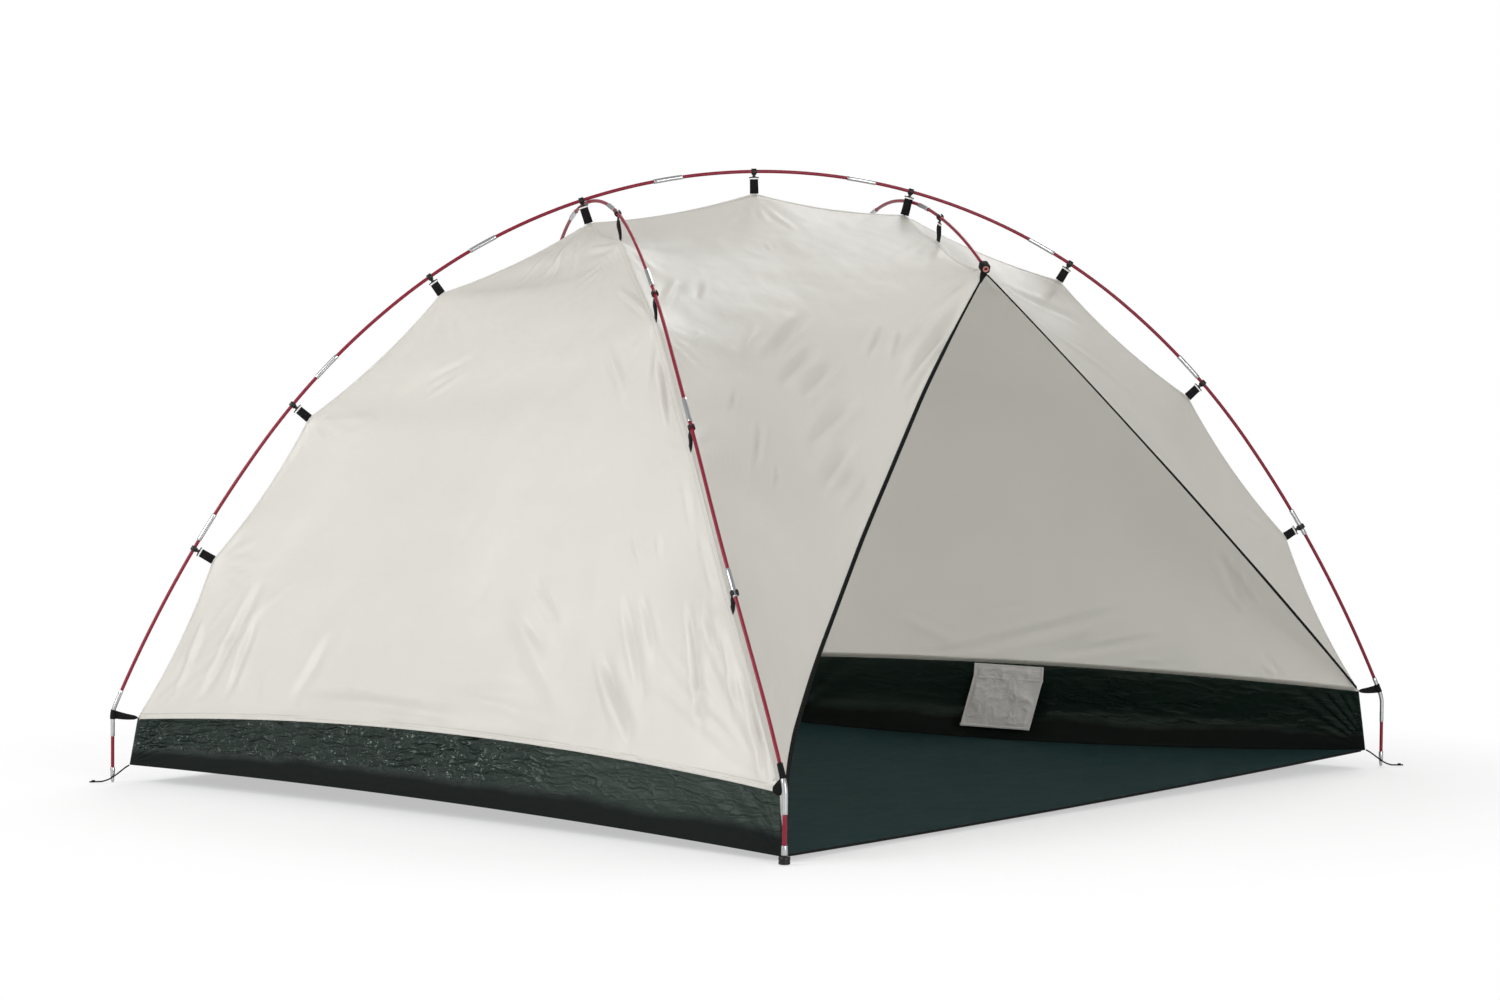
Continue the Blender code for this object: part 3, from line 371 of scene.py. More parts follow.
def cloth_lines(rows, columns, porch_points):
    """The lines that the panels share, by name."""
    arch = [clip_point(*clip) for clip in ARCH_CLIPS]
    front = [clip_point(*clip) for clip in FRONT_CLIPS]
    rear = [clip_point(FRONT, share, FRONT_CLIP_REACH) for share in FRONT_REAR_KNOT_SHARES]
    porch_front = clip_point(*PORCH_CLIP)
    porch_rear = [clip_point(PORCH, share, FRONT_CLIP_REACH) for share in PORCH_REAR_KNOT_SHARES]
    left_cross, right_cross = arch[3], arch[5]
    peak = PORCH.at(0) - PORCH_END_DROP * UP
    corner = {foot: seam_corner(foot) for foot in CORNERS}
    return {
        "left_ridge": scalloped([corner["left"], *arch[:3], left_cross], rows),
        "top_ridge": scalloped([left_cross, arch[4], right_cross], columns),
        "right_ridge": scalloped([corner["right"], *arch[:5:-1], right_cross], rows),
        "front_ridge": scalloped([corner["front"], *front, left_cross], rows),
        "rear_left_ridge": scalloped([corner["rear_left"], *rear[::-1], left_cross], rows),
        "rear_right_ridge": scalloped([corner["rear_right"], *porch_rear[::-1], right_cross], rows),
        "porch_seam": scalloped([peak, porch_front, right_cross], porch_points),
        "peak": peak,
    }


def entrance_edges(lines, points, rows):
    """The two bound edges of the entrance, from the peak down to the front and right corners."""
    peak = lines["peak"]
    coarse = np.linspace(0, 1, len(ENTRANCE_POINT_SHARES))
    shares = np.interp(np.linspace(0, 1, points), coarse, ENTRANCE_POINT_SHARES)
    draw = np.interp(shares, *zip(*ENTRANCE_DRAW_SHARES))
    for _ in range(points // 12):
        draw[1:-1] = (draw[:-2] + 2 * draw[1:-1] + draw[2:]) / 4
    front_foot = floor_corner("front")
    threshold = unit(floor_corner("right") - front_foot)
    front_foot = front_foot + threshold * ENTRANCE_FOOT_SETBACK + UP * ENTRANCE_FOOT_LIFT
    chord = front_foot - peak
    ridge = cloth_lines(ROUGH_ROWS, ROUGH_COLUMNS, ROUGH_PORCH_POINTS)["front_ridge"]
    away = unit(ridge[len(ridge) // 2] - (peak + front_foot) / 2)
    away = unit(away - away.dot(unit(chord)) * unit(chord))
    front = peak + shares[:, None] * chord + draw[:, None] * ENTRANCE_DRAW * away
    right_foot = seam_corner("right")
    chord = right_foot - peak
    up = unit(UP - UP.dot(unit(chord)) * unit(chord))
    return front, bowed(peak, right_foot, rows, up, ENTRANCE_RIGHT_DRAW)


# ---- meshes

def new_mesh(points, faces, coordinates=None):
    """A mesh with smooth faces. Coordinates are the points' own places on the cloth, in metres."""
    mesh = bpy.data.meshes.new("piece")
    mesh.from_pydata([tuple(point) for point in points], [], [tuple(face) for face in faces])
    if coordinates is not None:
        layer = mesh.uv_layers.new(name="cloth")
        corners = np.empty(len(mesh.loops), int)
        mesh.loops.foreach_get("vertex_index", corners)
        layer.data.foreach_set("uv", np.asarray(coordinates, np.float32)[corners].ravel())
    mesh.shade_smooth()
    mesh.update()
    return mesh


def welded(mesh, distance=1e-6):
    build = bmesh.new()
    build.from_mesh(mesh)
    bmesh.ops.remove_doubles(build, verts=build.verts, dist=distance)
    bmesh.ops.recalc_face_normals(build, faces=build.faces)
    build.to_mesh(mesh)
    build.free()
    return mesh


def add_piece(name, mesh, finish, slot, *nodes, body=TENT):
    """Puts a finished mesh in the scene on its body, in place of the nodes that it stands for."""
    mesh.name = name
    thing = bpy.data.objects.new(name, mesh)
    bpy.context.scene.collection.objects.link(thing)
    mesh.materials.clear()
    mesh.materials.append(finishes()[finish])
    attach(thing, body)
    if nodes:
        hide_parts(*nodes)
    return thing


def carried_frames(points):
    """Tangent and side vectors along a line, turned as little as the line allows."""
    tangents = units(np.gradient(points, axis=0))
    side = np.cross(tangents[0], UP)
    if np.linalg.norm(side) < 0.05:
        side = np.cross(tangents[0], (0.0, 1.0, 0.0))
    sides = [unit(side)]
    for tangent in tangents[1:]:
        sides.append(unit(sides[-1] - sides[-1].dot(tangent) * tangent))
    return tangents, np.array(sides)


def ring_faces(rings, around, closed_path=False):
    faces = []
    for ring in range(rings if closed_path else rings - 1):
        after = (ring + 1) % rings
        for index in range(around):
            beside = (index + 1) % around
            faces.append((ring * around + index, ring * around + beside,
                          after * around + beside, after * around + index))
    return faces


def capped_faces(rings, around):
    last = (rings - 1) * around
    return [*ring_faces(rings, around), tuple(range(around))[::-1],
            tuple(range(last, last + around))]


def circle(angles, side, other):
    return np.cos(angles)[:, None] * side + np.sin(angles)[:, None] * other


def rod_mesh(points, radii, around=16):
    """A solid round rod along the points, each with its own radius."""
    points, radii = np.asarray(points, float), np.broadcast_to(radii, len(points))
    tangents, sides = carried_frames(points)
    others = np.cross(tangents, sides)
    angles = np.linspace(0, 2 * math.pi, around, endpoint=False)
    rings = points[:, None] + circle(angles, sides[:, None], others[:, None]) * radii[:, None, None]
    faces = capped_faces(len(points), around)
    places = paired(distances(points)[:, None], (angles / 2 / math.pi)[None])
    return welded(new_mesh(rings.reshape(-1, 3), faces, places.reshape(-1, 2)))


def collar_mesh(route, profile, around=24):
    """A hollow collar round a route. The profile is a closed run of (place along, radius)."""
    rings, places = [], []
    angles = np.linspace(0, 2 * math.pi, around, endpoint=False)
    for along, radius in profile:
        tangent = route.tangent(along)
        side = unit(np.cross(tangent, (0.31, 0.87, 0.17)))
        other = np.cross(tangent, side)
        rings.append(route.at(along) + radius * circle(angles, side, other))
        places.append(paired(along, angles / 2 / math.pi))
    faces = ring_faces(len(rings), around, closed_path=True)
    return welded(new_mesh(np.concatenate(rings), faces, np.concatenate(places)), 1e-7)


def tube_profile(start, stop, inner, outer, bevel):
    """A collar's profile with softly rounded rims."""
    steps = max(2, round((stop - start) / 0.006))
    middle = np.linspace(start + bevel, stop - bevel, steps)
    profile = [(start, inner), (start, outer - bevel), (start + bevel * 0.3, outer - bevel * 0.3)]
    profile += [(along, outer) for along in middle]
    profile += [(stop - bevel * 0.3, outer - bevel * 0.3), (stop, outer - bevel), (stop, inner)]
    return profile + [(along, inner) for along in middle[::-1]]


def strip_mesh(points, across, widths, depths, corners=3):
    """A strap along the points with a rounded section. Across gives the way of its width."""
    points = np.asarray(points, float)
    tangents = units(np.gradient(points, axis=0))
    across = np.broadcast_to(np.asarray(across, float), points.shape)
    across = units(across - (across * tangents).sum(1, keepdims=True) * tangents)
    through = np.cross(tangents, across)
    widths, depths = (np.broadcast_to(value, len(points)) for value in (widths, depths))
    section, places = [], []
    for turn in range(4):
        for step in range(corners):
            angle = math.pi / 2 * (turn + step / (corners - 1))
            sign_x = 1 if turn in (0, 3) else -1
            sign_y = 1 if turn in (0, 1) else -1
            section.append((sign_x, sign_y, math.cos(angle), math.sin(angle)))
    around = len(section)
    rings = []
    for point, side, other, width, depth in zip(points, across, through, widths, depths):
        curve = min(width, depth) * 0.45
        ring = [
            point + side * (sx * (width / 2 - curve) + cx * curve)
            + other * (sy * (depth / 2 - curve) + cy * curve)
            for sx, sy, cx, cy in section
        ]
        rings.extend(ring)
    for along, width in zip(distances(points), widths):
        places += [(along, width * (0.5 + 0.5 * sx)) for sx, _, _, _ in section]
    faces = capped_faces(len(points), around)
    return welded(new_mesh(rings, faces, places), 1e-7)


def joined(meshes):
    """Several meshes as one."""
    build = bmesh.new()
    for mesh in meshes:
        build.from_mesh(mesh)
    made = bpy.data.meshes.new("piece")
    build.to_mesh(made)
    build.free()
    made.shade_smooth()
    for mesh in meshes:
        bpy.data.meshes.remove(mesh)
    return made


# ---- cloth surfaces

def coons(bottom, top, left, right):
    across = np.linspace(0, 1, len(bottom))[None, :, None]
    up = np.linspace(0, 1, len(left))[:, None, None]
    ruled_up = bottom[None] * (1 - up) + top[None] * up
    ruled_across = left[:, None] * (1 - across) + right[:, None] * across
    corners = (
        bottom[0] * (1 - across) * (1 - up) + bottom[-1] * across * (1 - up)
        + top[0] * (1 - across) * up + top[-1] * across * up
    )
    return ruled_up + ruled_across - corners


def relaxed(grid, rounds):
    """Lets the surface settle like cloth drawn tight between its edges."""
    for _ in range(rounds):
        below, above = grid[:-2, 1:-1], grid[2:, 1:-1]
        before, after = grid[1:-1, :-2], grid[1:-1, 2:]
        tall = np.linalg.norm(above - below, axis=2, keepdims=True) ** 2
        wide = np.linalg.norm(after - before, axis=2, keepdims=True) ** 2
        wide = np.maximum(wide, 1e-8)
        grid[1:-1, 1:-1] = (tall * (before + after) + wide * (below + above)) / (tall + wide) / 2
    return grid


def finer(values, rows, columns):
    """A grid read at more rows and columns, smoothly."""
    for axis, count in ((0, rows), (1, columns)):
        values = np.moveaxis(values, axis, 0)
        size = len(values)
        slopes = np.gradient(values, axis=0)
        spots = np.linspace(0, size - 1, count)
        low = np.minimum(spots.astype(int), size - 2)
        t = (spots - low).reshape((-1,) + (1,) * (values.ndim - 1))
        a, b, sa, sb = values[low], values[low + 1], slopes[low], slopes[low + 1]
        values = ((2 * t**3 - 3 * t**2 + 1) * a + (t**3 - 2 * t**2 + t) * sa
                  + (3 * t**2 - 2 * t**3) * b + (t**3 - t**2) * sb)
        values = np.moveaxis(values, 0, axis)
    return values


def grid_normals(grid):
    """Unit normals of a grid that point away from the middle of the tent."""
    along = np.gradient(grid, axis=1)
    up = np.gradient(grid, axis=0)
    for vectors in (along, up):
        flat = np.linalg.norm(vectors, axis=2) < 1e-7
        for edge, beside in ((np.s_[-1], np.s_[-2]), (np.s_[0], np.s_[1]),
                             (np.s_[:, -1], np.s_[:, -2]), (np.s_[:, 0], np.s_[:, 1])):
            if flat[edge].all():
                vectors[edge] = vectors[beside]
    normals = units(np.cross(along, up))
    centre = (grid.reshape(-1, 3).mean(axis=0) - MIDDLE)
    if (normals.reshape(-1, 3).mean(axis=0) * centre).sum() < 0:
        normals = -normals
    for row in (0, -1):
        if np.linalg.norm(grid[row] - grid[row].mean(axis=0), axis=1).max() < 1e-4:
            normals[row] = unit(normals[row].mean(axis=0))
    return normals


def cloth_places(grid):
    """Each point's place on the flat cloth, in metres."""
    middle = grid.shape[1] // 2
    across = distances(grid, 1)
    across -= across[:, middle:middle + 1]
    return paired(across, distances(grid)[:, middle:middle + 1])


def two_sided(grid, normals, thickness, places, quads, loop):
    """The quads on both sides of a grid, with a rim along the loop of points."""
    half = normals * thickness / 2
    points = np.concatenate(((grid + half).reshape(-1, 3), (grid - half).reshape(-1, 3)))
    count = len(points) // 2
    rim = np.stack((loop[:-1], loop[1:], loop[1:] + count, loop[:-1] + count), axis=-1)
    faces = np.concatenate((quads, quads[:, ::-1] + count, rim))
    return welded(new_mesh(points, faces, np.tile(places.reshape(-1, 2), (2, 1))), 2e-6)


def sheet_mesh(grid, thickness, normals=None):
    """A closed sheet of cloth with a face on each side of the grid and a rim round it."""
    rows, columns = grid.shape[:2]
    if normals is None:
        normals = grid_normals(grid)
    index = np.arange(rows * columns).reshape(rows, columns)
    quads = np.stack((index[:-1, :-1], index[:-1, 1:], index[1:, 1:], index[1:, :-1]), axis=-1)
    quads = quads.reshape(-1, 4)
    facing = np.cross(grid[rows // 2, columns // 2 + 1] - grid[rows // 2, columns // 2],
                      grid[rows // 2 + 1, columns // 2] - grid[rows // 2, columns // 2])
    if facing.dot(normals[rows // 2, columns // 2]) < 0:
        quads = quads[:, ::-1]
    loop = np.concatenate((index[0, :-1], index[:-1, -1], index[-1, :0:-1], index[::-1, 0]))
    return two_sided(grid, normals, thickness, cloth_places(grid), quads, loop)


def flat_size(grid):
    """(width, length, area) of a grid's cloth, in metres."""
    across = np.linalg.norm(np.diff(grid, axis=1), axis=2).sum(axis=1).max()
    up = np.linalg.norm(np.diff(grid, axis=0), axis=2).sum(axis=0).max()
    first = np.cross(grid[:-1, 1:] - grid[:-1, :-1], grid[1:, :-1] - grid[:-1, :-1])
    second = np.cross(grid[1:, 1:] - grid[1:, :-1], grid[1:, 1:] - grid[:-1, 1:])
    area = (np.linalg.norm(first, axis=2) + np.linalg.norm(second, axis=2)).sum() / 2
    return float(across), float(up), float(area)


def declare_sheet(grid):
    width, tall, area = flat_size(grid)
    area = min(area, width * tall)


def noise_at(points, scale, seed):
    """Smooth noise from -1 to 1 at each point, with a cell of that size."""
    spots = np.asarray(points) / scale
    low = np.floor(spots).astype(np.int64)
    part = spots - low
    part = part * part * (3 - 2 * part)
    total = 0
    for corner in range(2 ** spots.shape[-1]):
        bits = [(corner >> axis) & 1 for axis in range(spots.shape[-1])]
        cell = low + bits
        mixed = seed * 1013
        for axis, prime in zip(range(spots.shape[-1]), (73856093, 19349663, 83492791)):
            mixed = mixed ^ (cell[..., axis] * prime)
        mixed = (mixed ^ (mixed >> 13)) * 1274126177 & 0x7FFFFFFF
        value = (mixed ^ (mixed >> 16)) % 20011 / 10005.5 - 1
        weight = 1
        for axis, bit in enumerate(bits):
            weight = weight * (part[..., axis] if bit else 1 - part[..., axis])
        total = total + value * weight
    return total


def smooth_step(low, high, value):
    share = np.clip((value - low) / (high - low), 0, 1)
    return share * share * (3 - 2 * share)


def grid_point(grid, across, up):
    """The point at a share of the way across and up a grid."""
    rows, columns = grid.shape[:2]
    return grid[int(round(up * (rows - 1))), int(round(across * (columns - 1)))]


def border_distance(grid):
    """How far each point is from the nearest of its grid's four edges, along the grid."""
    from_left, from_bottom = distances(grid, 1), distances(grid)
    from_right = from_left[:, -1:] - from_left
    from_top = from_bottom[-1:] - from_bottom
    return np.minimum(np.minimum(from_left, from_right), np.minimum(from_bottom, from_top))


def crease(grid, normals, start, end, height, width, bend=0.0):
    """One fold that runs from start to end: a crest with a shallow trough on each side."""
    run = end - start
    size = np.linalg.norm(run)
    normal = unit(normals.reshape(-1, 3).mean(axis=0))
    side = unit(np.cross(normal, run))
    away = grid - start
    share = np.clip(away @ run / size**2, -0.2, 1.2)
    across = (away @ side - bend * np.sin(math.pi * np.clip(share, 0, 1))) / width
    across = np.where(across > 0, across, across * 1.5)
    crest = np.exp(-np.abs(across) ** 1.35) - 0.45 * np.exp(-((np.abs(across) - 1.9) / 1.0) ** 2)
    fade = np.sin(math.pi * np.clip(share, 0, 1)) ** 0.8
    return height * crest * fade


def fan(grid, normals, corner, target, spread, count, reach, height, seed, width=0.010):
    """Folds that fan out from a corner towards a target, within a spread in degrees."""
    source = np.random.default_rng(seed)
    normal = unit(normals.reshape(-1, 3).mean(axis=0))
    way = unit(target - corner)
    way = unit(way - way.dot(normal) * normal)
    side = np.cross(normal, way)
    push = 0
    for index in range(count):
        angle = math.radians(spread) * (
            (index + 0.5) / count - 0.5 + source.uniform(-0.3, 0.3) / count)
        far = reach * source.uniform(0.55, 1.0)
        direction = math.cos(angle) * way + math.sin(angle) * side
        start = corner + direction * far * 0.05
        push = push + crease(
            grid, normals, start, corner + direction * far, height * source.uniform(0.5, 1.0),
            width * source.uniform(0.7, 1.3), bend=source.uniform(-0.02, 0.02) * far,
        )
    return push


# ---- materials

class Value:
    """A socket in a tree of nodes that adds, multiplies and so on as a number does."""

    def __init__(self, finish, socket):
        self.finish, self.socket = finish, socket

    def maths(self, operation, first, second=None):
        inputs = {0: first} if second is None else {0: first, 1: second}
        return self.finish.node("ShaderNodeMath", {"operation": operation}, inputs)

    def __add__(self, other):
        return self.maths("ADD", self, other)

    __radd__ = __add__

    def __sub__(self, other):
        return self.maths("SUBTRACT", self, other)

    def __rsub__(self, other):
        return self.maths("SUBTRACT", other, self)

    def __mul__(self, other):
        return self.maths("MULTIPLY", self, other)

    __rmul__ = __mul__

    def __truediv__(self, other):
        return self.maths("DIVIDE", self, other)

    def __pow__(self, other):
        return self.maths("POWER", self, other)


class Nodes:
    """A tree of shader nodes that is written as expressions."""

    def __init__(self, tree):
        self.tree = tree

    def node(self, kind, settings=None, inputs=None, output=0):
        made = self.tree.nodes.new(kind)
        for key, value in (settings or {}).items():
            setattr(made, key, value)
        for key, value in (inputs or {}).items():
            self.feed(made.inputs[key], value)
        return Value(self, made.outputs[output])

    def feed(self, socket, value):
        if isinstance(value, Value):
            self.tree.links.new(value.socket, socket)
        elif hasattr(value, "__len__") and len(value) == 3 and socket.type == "RGBA":
            socket.default_value = (*value, 1)
        else:
            socket.default_value = value

    def object_place(self):
        return self.node("ShaderNodeTexCoord", output="Object")

    def cloth_parts(self):
        """Place along and across the piece's own cloth, in metres."""
        return self.parts(self.node("ShaderNodeUVMap", {"uv_map": "cloth"}))[:2]

    def seen(self):
        """1 for what the camera sees, straight or through glass, and 0 for all other light."""
        rays = self.tree.nodes.new("ShaderNodeLightPath").outputs
        straight, through = (
            Value(self, rays[name]) for name in ("Is Camera Ray", "Is Transmission Ray"))
        return straight.maths("MAXIMUM", straight, through)

    def parts(self, vector):
        split = self.tree.nodes.new("ShaderNodeSeparateXYZ")
        self.tree.links.new(vector.socket, split.inputs[0])
        return [Value(self, socket) for socket in split.outputs]

    def flat(self, first, second):
        return self.node("ShaderNodeCombineXYZ", {}, {0: first, 1: second})

    def noise(self, vector, scale, detail=3.0, roughness=0.5, distortion=0.0, kind="FBM"):
        return self.node(
            "ShaderNodeTexNoise", {"noise_type": kind, "normalize": kind != "RIDGED_MULTIFRACTAL"},
            {"Vector": vector, "Scale": scale, "Detail": detail, "Roughness": roughness,
             "Distortion": distortion},
        )

    def wave(self, number, pitch):
        """A smooth wave from 0 to 1 with that pitch."""
        turn = number * (2 * math.pi / pitch)
        return self.node("ShaderNodeMath", {"operation": "SINE"}, {0: turn}) * 0.5 + 0.5

    def mix(self, factor, first, second):
        return self.node(
            "ShaderNodeMix", {"data_type": "RGBA"}, {0: factor, 6: first, 7: second}, 2)

    def range(self, value, low, high, start=0.0, stop=1.0):
        return self.node(
            "ShaderNodeMapRange", {}, {0: value, 1: start, 2: stop, 3: low, 4: high})

    def bump(self, height, strength, distance, under=None):
        inputs = {"Height": height, "Strength": strength, "Distance": distance}
        if under is not None:
            inputs["Normal"] = under
        return self.node("ShaderNodeBump", {}, inputs)


class Finish(Nodes):
    """A material with a Principled surface."""

    def __init__(self, name, colour, roughness, metallic=0.0, **plain):
        self.material = bpy.data.materials.new(name)
        self.material.use_nodes = True
        super().__init__(self.material.node_tree)
        self.shader = self.tree.nodes["Principled BSDF"]
        self.out = self.tree.nodes["Material Output"]
        self.shader.inputs["Base Color"].default_value = (*colour, 1)
        self.shader.inputs["Roughness"].default_value = roughness
        self.shader.inputs["Metallic"].default_value = metallic
        self.material.diffuse_color = (*colour, 1)
        for socket, value in plain.items():
            self.shader.inputs[socket.replace("_", " ").title().replace("Ior", "IOR")
                               ].default_value = value

    def set(self, name, value):
        self.feed(self.shader.inputs[name], value)

    def blend(self, factor, other):
        """Mixes the surface with another shader."""
        both = self.node("ShaderNodeMixShader", {}, {
            0: factor, 1: Value(self, self.shader.outputs[0]), 2: other})
        self.feed(self.out.inputs["Surface"], both)

    def paint(self, factor, tone, low, high):
        """Colours the surface from one share of the tone to another."""
        self.set("Base Color", self.mix(factor, tinted(tone, low), tinted(tone, high)))

    def relief(self, *layers):
        """Raises the surface by layers of (height, strength, distance), the widest first."""
        under = None
        for layer in layers:
            under = self.bump(*layer, under)
        self.set("Normal", under)


def tinted(tone, share):
    return tuple(min(1.0, max(0.0, channel * share)) for channel in tone)


# Light that comes through the canopy: its colour, and its share of the finish
CANOPY_GLOW, CANOPY_GLOW_SHARE = (0.85, 0.84, 0.815), 0.46


def canopy_cloth(settings):
    """Thin off-white plain weave that lets a little light through."""
    finish = Finish("canopy_cloth", settings.cloth_colour, 0.42)
    place = finish.object_place()
    u, v = finish.cloth_parts()
    weave = finish.wave(u, 0.0016) * finish.wave(v, 0.0016)
    crinkle = finish.noise(place, 16.0, 4.0, 0.55, 0.6)
    fine = finish.noise(place, 70.0, 2.0, 0.5)
    patch = finish.noise(place, 3.0, 2.0)
    finish.paint(finish.range(patch, 0.0, 1.0, 0.3, 0.7), settings.cloth_colour, 0.965, 1.02)
    finish.set("Roughness", finish.range(fine, 0.34, 0.50))
    finish.relief((crinkle, 0.30, 0.005), (fine, 0.12, 0.0012), (weave, 0.10, 0.0003))
    glow = finish.node("ShaderNodeBsdfTranslucent", {}, {"Color": CANOPY_GLOW})
    finish.blend(CANOPY_GLOW_SHARE, glow)


# Crinkle lines of the tub's wall: stretch along it, slant, scale, sharpness, height
CRINKLES = ((0.20, 0.12, 24.0, 15.0, 1.5), (0.40, -0.60, 36.0, 15.0, 0.8),
            (0.42, 0.80, 70.0, 11.0, 0.22))


def coated_tub_cloth(name, tone, crumpled):
    """Dark coated cloth: crinkled and a little glossy above, matt below, with painted shade on its
    lower part.
    """
    finish = Finish(name, tone, 0.34, specular_ior_level=0.36, specular_tint=(0.86, 1.0, 0.93, 1))
    place = finish.object_place()
    u, v = finish.cloth_parts()
    warp = finish.noise(place, 18.0, 3.0) * 0.024
    lines = 0.0
    for along, slant, scale, sharpness, height in CRINKLES:
        flat = finish.flat(u * along + v * slant + warp, v - u * (slant * 0.3) + warp)
        swing = finish.noise(flat, scale, 2.0, 0.5) * 2 - 1
        ridge = (1 - swing.maths("ABSOLUTE", swing)) ** sharpness
        lines = lines + ridge * height
    folds = finish.noise(place, 13.0, 5.0, 0.55, 0.9, "RIDGED_MULTIFRACTAL")
    patch = finish.noise(place, 7.0, 3.0)
    upper = finish.range(v + (patch - 0.5) * 0.036, 0.0, 1.0, 0.040, 0.060)
    calm = finish.range(u, 1.0, 0.35, 0.05, 0.45)
    weave = finish.wave(u, 0.0022) * finish.wave(v, 0.0022)
    # Painted shade: below the upper mask the base colour falls to a tenth, as shade where the wall
    # curls under.
    finish.paint(upper * (0.75 + 0.25 * patch), tone, 0.10, 1.10)
    gloss = upper * (0.30 + 0.70 * calm) * (0.80 + 0.40 * patch)
    finish.set("Roughness", finish.range(gloss, 0.95, 0.20))
    finish.relief((folds, 0.16 * crumpled, 0.006),
                  (lines * (upper * 0.93 + 0.07) * calm, crumpled, 0.0030),
                  (weave, 0.10, 0.0004))


def coated_floor_cloth(name, tone):
    """The floor's matt dark teal cloth, with small creases from its folding."""
    finish = Finish(name, tone, 0.78, specular_ior_level=0.06)
    place = finish.object_place()
    x, y, _ = finish.parts(place)
    patch = finish.noise(place, 5.0, 3.0)
    fine = finish.noise(place, 26.0, 4.0, 0.6, 0.8)
    weave = finish.wave(x, 0.0024) * finish.wave(y, 0.0024)
    # Base colour follows the bump's swells and creases: partly random tone, partly painted shade
    # that darkens their hollows.
    finish.paint(patch * 0.6 + fine * 0.4, tone, 0.70, 1.28)
    finish.set("Roughness", finish.range(fine, 0.70, 0.86))
    finish.relief((patch, 0.25, 0.010), (fine, 0.45, 0.005), (weave, 0.10, 0.0004))


def lacquered_rod(settings):
    """Red fibreglass rod under clear lacquer, with faint fibres along it."""
    finish = Finish("lacquered_rod", settings.rod_colour, 0.40, specular_ior_level=0.22,
                    coat_weight=0.14, coat_roughness=0.22)
    run, turn = finish.cloth_parts()
    fibre = finish.noise(finish.flat(run * 14.0, turn * 46.0), 1.0, 3.0, 0.6)
    finish.paint(fibre, settings.rod_colour, 0.85, 1.15)
    finish.set("Roughness", finish.range(fibre, 0.36, 0.46))
    finish.relief((fibre, 0.01, 0.0002))


def drawn_metal(settings):
    """Bright drawn tube with fine lines round it and a few dull spots."""
    finish = Finish("drawn_metal", settings.metal_colour, 0.30, 1.0)
    run, turn = finish.cloth_parts()
    lines = finish.noise(finish.flat(run * 260.0, turn * 5.0), 1.0, 2.0)
    spots = finish.noise(finish.object_place(), 60.0, 2.0, 0.5)
    finish.paint(spots, settings.metal_colour, 0.92, 1.04)
    finish.set("Roughness", finish.range(lines, 0.25, 0.33))
    finish.relief((lines, 0.006, 0.0001))


def woven_webbing(name, tone, pitch=0.0013):
    """Black webbing with ribs across it."""
    finish = Finish(name, tone, 0.78, specular_ior_level=0.18)
    run, across = finish.cloth_parts()
    ribs = finish.wave(run + finish.wave(across, pitch * 2) * (pitch * 0.35), pitch)
    rows = finish.wave(across, pitch * 1.6)
    fuzz = finish.noise(finish.object_place(), 420.0, 2.0)
    height = ribs * 0.6 + rows * 0.4
    # Painted shade: the base colour follows the ribs' height, darker in the grooves and lighter on
    # the crests.
    finish.paint(height, tone, 0.6, 1.6)
    finish.set("Roughness", finish.range(fuzz, 0.70, 0.88))
    finish.relief((height, 0.55, 0.0006))


def moulded_plastic(name, tone, roughness):
    finish = Finish(name, tone, roughness, specular_ior_level=0.35)
    place = finish.object_place()
    grain = finish.noise(place, 900.0, 2.0)
    patch = finish.noise(place, 60.0, 2.0)
    finish.paint(patch, tone, 0.85, 1.15)
    finish.set("Roughness", finish.range(grain, roughness - 0.05, roughness + 0.09))
    finish.relief((grain, 0.12, 0.0002))


def pocket_cloth(settings):
    """Thin light grey lining cloth with small pressed wrinkles."""
    tone = settings.pocket_colour
    finish = Finish("pocket_cloth", tone, 0.52, sheen_weight=0.05)
    place = finish.object_place()
    u, v = finish.cloth_parts()
    wrinkle = finish.noise(place, 30.0, 4.0, 0.6, 1.4)
    weave = finish.wave(u, 0.0014) * finish.wave(v, 0.0014)
    # Painted shade: the base colour follows the wrinkles' height, darker in their hollows and
    # lighter on their crests.
    finish.paint(wrinkle, tone, 0.9, 1.12)
    finish.set("Roughness", finish.range(wrinkle, 0.44, 0.62))
    finish.relief((wrinkle, 0.6, 0.006), (weave, 0.1, 0.0003))


def sewing_thread(name, tone):
    finish = Finish(name, tone, 0.7)
    twist = finish.noise(finish.object_place(), 1500.0, 1.0)
    finish.paint(twist, tone, 0.8, 1.15)


def finishes():
    """All the materials of the tent, made once."""
    made = bpy.data.materials
    if "canopy_cloth" not in made:
        scene = bpy.context.scene
        cloth, tub, trim = scene.tent_cloth, scene.tent_tub, scene.tent_trim
        canopy_cloth(cloth)
        pocket_cloth(cloth)
        sewing_thread("pale_thread", cloth.thread_colour)
        sewing_thread("black_thread", tinted(trim.webbing_colour, 2.2))
        coated_tub_cloth("crumpled_wall_cloth", tub.tub_colour, 1.0)
        coated_tub_cloth("smooth_wall_cloth", tub.tub_colour, 0.35)
        coated_floor_cloth("tub_floor_cloth", tub.floor_colour)
        lacquered_rod(scene.tent_poles)
        drawn_metal(scene.tent_poles)
        woven_webbing("black_webbing", trim.webbing_colour)
        woven_webbing("braided_cord", trim.webbing_colour, 0.0008)
        moulded_plastic("black_plastic", trim.hook_colour, 0.42)
        moulded_plastic("pale_plastic", trim.band_colour, 0.34)
        moulded_plastic("copper_plug", (0.42, 0.19, 0.16), 0.40)
    return made


# ---- operators

